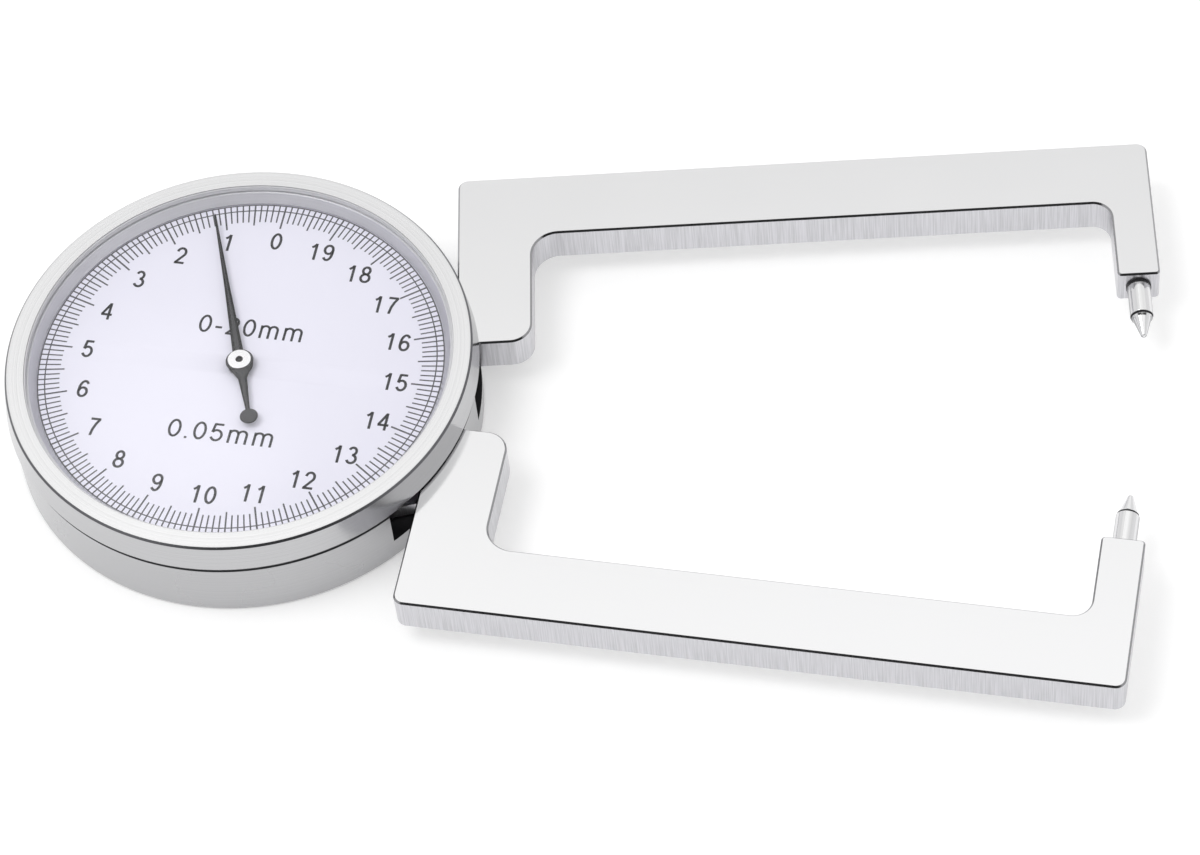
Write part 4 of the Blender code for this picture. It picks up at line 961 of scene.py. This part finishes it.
# Each sign is a list of strokes in a box one high, with the box's width first
six = [bow(0.28, 0.31, 0.2, 0.25, 0, 360), bow(0.3, 0.5, 0.22, 0.44, 42, 180) + [(0.08, 0.31)]]
signs = {
    "0": (0.56, [bow(0.28, 0.5, 0.21, 0.44, 0, 360)]),
    "1": (0.56, [[(0.33, 0.0), (0.33, 0.98)], [(0.33, 0.96), (0.25, 0.83), (0.12, 0.74)]]),
    "2": (0.56, [
        bow(0.27, 0.69, 0.2, 0.25, 172, -32) + [(0.07, 0.06)], [(0.02, 0.06), (0.5, 0.06)]]),
    "3": (0.56, [bow(0.27, 0.73, 0.17, 0.21, 160, -90), bow(0.27, 0.29, 0.21, 0.23, 90, -162)]),
    "4": (0.56, [
        [(0.38, 0.96), (0.04, 0.3)], [(0.01, 0.3), (0.53, 0.3)], [(0.38, 0.98), (0.38, 0.0)]]),
    "5": (0.56, [
        [(0.13, 0.94), (0.48, 0.94)], [(0.15, 0.98), (0.09, 0.5)],
        bow(0.27, 0.34, 0.21, 0.28, 146, -158)]),
    "6": (0.56, six),
    "7": (0.56, [
        [(0.05, 0.94), (0.52, 0.94)], [(0.49, 0.94), (0.35, 0.68), (0.25, 0.38), (0.2, 0.0)]]),
    "8": (0.56, [bow(0.28, 0.73, 0.17, 0.21, 0, 360), bow(0.28, 0.29, 0.21, 0.23, 0, 360)]),
    "9": (0.56, [[(0.56 - x, 1 - y) for x, y in stroke] for stroke in six]),
    "-": (0.36, [[(0.04, 0.36), (0.32, 0.36)]]),
    ".": (0.2, [[(0.1, 0.0), (0.1, 0.11)]]),
    "m": (0.88, [
        [(0.1, 0.0), (0.1, 0.72)], bow(0.27, 0.5, 0.17, 0.2, 180, 0) + [(0.44, 0.0)],
        bow(0.61, 0.5, 0.17, 0.2, 180, 0) + [(0.78, 0.0)]]),
}


def drawStroke(shape, points, half):
    # A thin band of ink along a line, mitred where the line turns
    points = [Vector(point) for point in points]
    closed = (points[0] - points[-1]).length < figures["closeGap"]
    if closed:
        points.pop()
    low, high = figures["level"], figures["level"] + figures["thick"]
    rows = []
    for i, here in enumerate(points):
        ways = []
        if closed or i > 0:
            ways.append((here - points[i - 1]).normalized())
        if closed or i < len(points) - 1:
            ways.append((points[(i + 1) % len(points)] - here).normalized())
        along = sum(ways, Vector((0, 0))).normalized()
        side = Vector((-along.y, along.x))
        slant = abs(side.dot(Vector((-ways[0].y, ways[0].x))))
        reach = side * (half / max(figures["sharpestMitre"], slant))
        left, right = here + reach, here - reach
        corners = ((*left, low), (*right, low), (*right, high), (*left, high))
        rows.append([shape.verts.new(corner) for corner in corners])
    closeRows(shape, rows, closed)


def lettering(text, height, halfStroke, at, width=None):
    # Figures drawn as strokes, centred on a place, stretched to a width where one is given
    shape = bmesh.new()
    total = sum(signs[sign][0] for sign in text) + figures["spacing"] * (len(text) - 1)
    across = (width / total) if width else height
    start = at[0] - total * across / 2
    for sign in text:
        for line in signs[sign][1]:
            points = [(start + x * across, at[1] + (y - 0.5) * height) for x, y in line]
            drawStroke(shape, points, halfStroke)
        start += (signs[sign][0] + figures["spacing"]) * across
    return finishMesh("figure", shape, printInk)


def makeFigures():
    made = []
    for i in range(figures["count"]):
        spot = polar(figures["ring"], 90 + 360 * i / figures["count"])
        made.append(lettering(str(i), figures["height"], figures["halfStroke"], spot))
    look = (figures["wordHeight"], figures["wordHalfStroke"])
    for text, spot in figures["words"]:
        made.append(lettering(text, *look, spot, figures["wordWidth"]))
    joined("dialFigures", made, printInk, "bezel")


makeBezel()
makeDial()
makeTicks()
makeFigures()
print("bezel and dial made")


# Hand and its boss. A bar's sections are (distance, half width, share of it that is flat)

handShape = {
    "low": 9.75, "edge": 9.8, "ridge": 9.95, "chamfer": 0.09,
    "pointer": [(1.085, 0.62, 0.45), (10.7, 0.31, 0.2), (21.15, 0.12, 0.05), (21.4, 0.03, 0.05)],
    "tail": [(-0.93, 1.24, 0.6), (-2.48, 0.5, 0.5), (-7.2, 0.22, 0.4)],
    "disc": -7.8, "discRadius": 1.0, "discSteps": 48,
}
handHub = {
    "radius": 1.55, "steps": 72, "hole": 1.0, "holeSteps": 48, "low": 9.75, "high": 9.94,
    "edge": 0.09, "edgeSteps": 0,
}
handTube = {
    "profile": [
        (0.45, 8.7), (1.1, 8.7), (1.1, 9.02), (1.4, 9.02), (1.4, 9.76), (0.45, 9.76)],
    "corner": 0, "steps": 96,
}
boss = {
    "profile": [
        (0.4, 9.7, 0), (0.9, 9.7, 0), (0.9, 10.0, 0.04), (1.3, 10.0, 0.05), (1.3, 10.15, 0.07),
        (0.4, 10.15, 0.05)],
    "corner": 0.05, "steps": 96,
}


def ridgedBar(sections):
    # A tapering bar with a narrow flat top between two slopes
    shape = bmesh.new()
    low, edge, ridge = (handShape[level] for level in ("low", "edge", "ridge"))
    rows = []
    for along, half, share in sections:
        flat = half * share
        across = (
            (-half, low), (-half, edge), (-flat, ridge), (flat, ridge), (half, edge), (half, low))
        rows.append([shape.verts.new((along, y, z)) for y, z in across])
    closeRows(shape, rows, False)
    return shape


def makeHand():
    place = Matrix.Rotation(handAngle, 4, "Z")
    disc = circle(handShape["discRadius"], (handShape["disc"], 0), handShape["discSteps"])
    shapes = (
        ridgedBar(handShape["pointer"]), ridgedBar(handShape["tail"]),
        flatPlate([disc], handShape["low"], handShape["ridge"], handShape["chamfer"]))
    parts = [finishMesh("handPart", shape, handPaint, place) for shape in shapes]
    parts.append(turnedPiece("tube", handTube, handPaint))
    parts.append(roundPlate("hub", handHub, handPaint))
    joined("dialHand", parts, handPaint, "hand", "hand")
    settle(turnedPiece("handBoss", boss, bossSteel), "hand", "hand_boss")


makeHand()
print("hand made")


# Arms and anvil pins

arms = {
    "low": 3.0, "high": 7.5, "edge": 0.2, "tongueHigh": 4.8, "tongueEdge": 0.05,
    "outline": [
        (22.9, -27.5, 1.2), (101.3, -27.5, 1.2), (101.3, -8.7, 0.5), (96.6, -8.7, 0.5),
        (96.6, -19.13, 2.1), (31.3, -19.13, 3.0), (31.3, -4.0, 2.5), (22.9, -4.0, 0)],
    "outlineSteps": 14, "tongueSteps": 8,
    "fixedTongue": [
        (23.4, -4.0, 0), (14, -6, 1.5), (6, -9, 1.5), (6, -17, 1.5), (14, -16, 1.5),
        (23.4, -12.3, 0)],
    "movingTongueHigh": [(23.4, 8.8, 0), (10, 11, 3.5)],
    "movingTongueLow": [(-2, 1.6, 3.5), (8, 2.2, 3.5), (23.4, 1.0, 0)],
    "hub": 3.2, "hubStep": 8, "eye": 2.3, "eyeSteps": 64, "tail": -15.0, "tailHalf": 2.0,
    "tailCorner": 1.2, "screwHole": 1.05, "screwHoleSteps": 32,
}
pin = {
    "profile": [
        (0, -3.0), (0.8, -3.0, 0.1), (0.8, 0.02, 0), (1.4, 0.02, 0.03), (1.4, 0.3, 0.03),
        (1.3, 0.34, 0.02), (1.3, 4.2, 0.05), (1.14, 4.26, 0), (1.14, 4.46, 0), (1.2, 4.5, 0.02),
        (1.0, 4.72, 0.05), (0.32, 6.9, 0.15), (0.0, 7.2)],
    "corner": 0.05, "steps": 96, "level": 5.25, "legEnd": -8.7, "blackCollar": 0.33,
    "blackGroove": (4.22, 4.48),
}


def makeArm(name, outline, tongue, holes, body, node, place=None):
    # The bow outside the case and its flat tongue inside
    levels = (arms["low"], arms["high"], arms["edge"])
    bowShape = flatPlate([rounded(outline, arms["outlineSteps"])], *levels)
    levels = (arms["low"], arms["tongueHigh"], arms["tongueEdge"])
    tongueShape = flatPlate([rounded(tongue, arms["tongueSteps"]), *holes], *levels)
    parts = [finishMesh("armPart", shape, armSteel, place) for shape in (bowShape, tongueShape)]
    joined(name, parts, armSteel, body, node)


def makeArms():
    # The moving arm is the fixed one's mirror image about the line of the jaws
    spots = armPad["spots"]
    holes = [circle(arms["screwHole"], spot, arms["screwHoleSteps"]) for spot in spots]
    makeArm("fixedArm", arms["outline"], arms["fixedTongue"], holes, "case", "fixed_arm")
    twice = 2 * pose["jawLine"]
    outline = [(x, twice - y, radius) for x, y, radius in reversed(arms["outline"])]
    at, hub, half, step = pivotAxis.xy, arms["hub"], arms["tailHalf"], arms["hubStep"]
    meet = math.degrees(math.asin(half / hub))
    turns = (range(90, int(180 - meet), step), range(int(180 + meet) + 1, 271, step))
    above, below = ([(*polar(hub, angle, at), 0) for angle in angles] for angles in turns)
    tail = [(arms["tail"], at.y + side, arms["tailCorner"]) for side in (half, -half)]
    tongue = arms["movingTongueHigh"] + above + tail + below + arms["movingTongueLow"]
    eye = circle(arms["eye"], at, arms["eyeSteps"])
    makeArm("movingArm", outline, tongue, [eye], "moving_arm", "moving_arm", armPlace)


def isPinShade(radius, height):
    # Painted shade: the pin's groove and its base where it meets the arm are painted black
    low, high = pin["blackGroove"]
    return height < pin["blackCollar"] or low < height < high


def makePin(name, y, quarter, moved, body, node):
    spot = Matrix.Translation((pose["pinX"], y, pin["level"]))
    place = moved @ spot @ Matrix.Rotation(math.radians(quarter), 4, "X")
    piece = turnedPiece(name, pin, pinSteel, place)
    secondFinish(piece, shadeBlackFinish, isPinShade, place)
    settle(piece, body, node)


makeArms()
makePin("fixedPin", pin["legEnd"], -90, Matrix(), "case", "fixed_pin")
makePin("movingPin", 2 * pose["jawLine"] - pin["legEnd"], 90, armPlace, "moving_arm", "moving_pin")
print("arms made")


# Pull spring of the moving arm, which stretches as the arm swings; here a smoothed copy of its
# solid in the stored pose

pullSpring = {
    "solid": "return_spring", "fixedEnd": "spring_post", "movingEnd": "spring_hook_pin",
    "stiffEnd": 1.9, "sharpAngle": 60,
}


def makePullSpring():
    # A smoothed copy of the spring's solid, which stays in the stored pose
    wire = bmesh.new()
    wire.from_mesh(bpy.data.objects[pullSpring["solid"]].data)
    wire.transform(Matrix.Scale(1 / mm, 4))
    spring = finishMesh("pullSpring", wire, bluedSteel, sharpAngle=pullSpring["sharpAngle"])
    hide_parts(pullSpring["solid"])
    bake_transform(spring)


makePullSpring()
print("pull spring made")


# Finishes of the mechanism, whose solids keep their shape

nodeFinishes = {
    trainBrass: (
        "sector_gear", "idler_wheel", "pivot_bush", "hairspring_collet", "hairspring_stud",
        "upper_bridge", "pillar_1", "pillar_2", "pillar_3"),
    screwSteel: (
        "arm_screw_1", "arm_screw_2", "bridge_screw_1", "bridge_screw_2", "bridge_screw_3",
        "sector_screw_1", "sector_screw_2", "pivot_post", "pivot_circlip", "stop_pin",
        "spring_post", "spring_hook_pin", "idler_arbor", "idler_pinion", "centre_pinion"),
    bluedSteel: ("hairspring", "bezel_wire"),
    # The centre arbor: partly its own dark steel, partly painted shade at the bottom of the boss's
    # hole
    shadeBlackFinish: ("centre_arbor",),
}


def dressNodes():
    for finish, names in nodeFinishes.items():
        for name in names:
            for place in bpy.data.objects[name].material_slots:
                place.material = finish


dressNodes()
print("mechanism dressed")
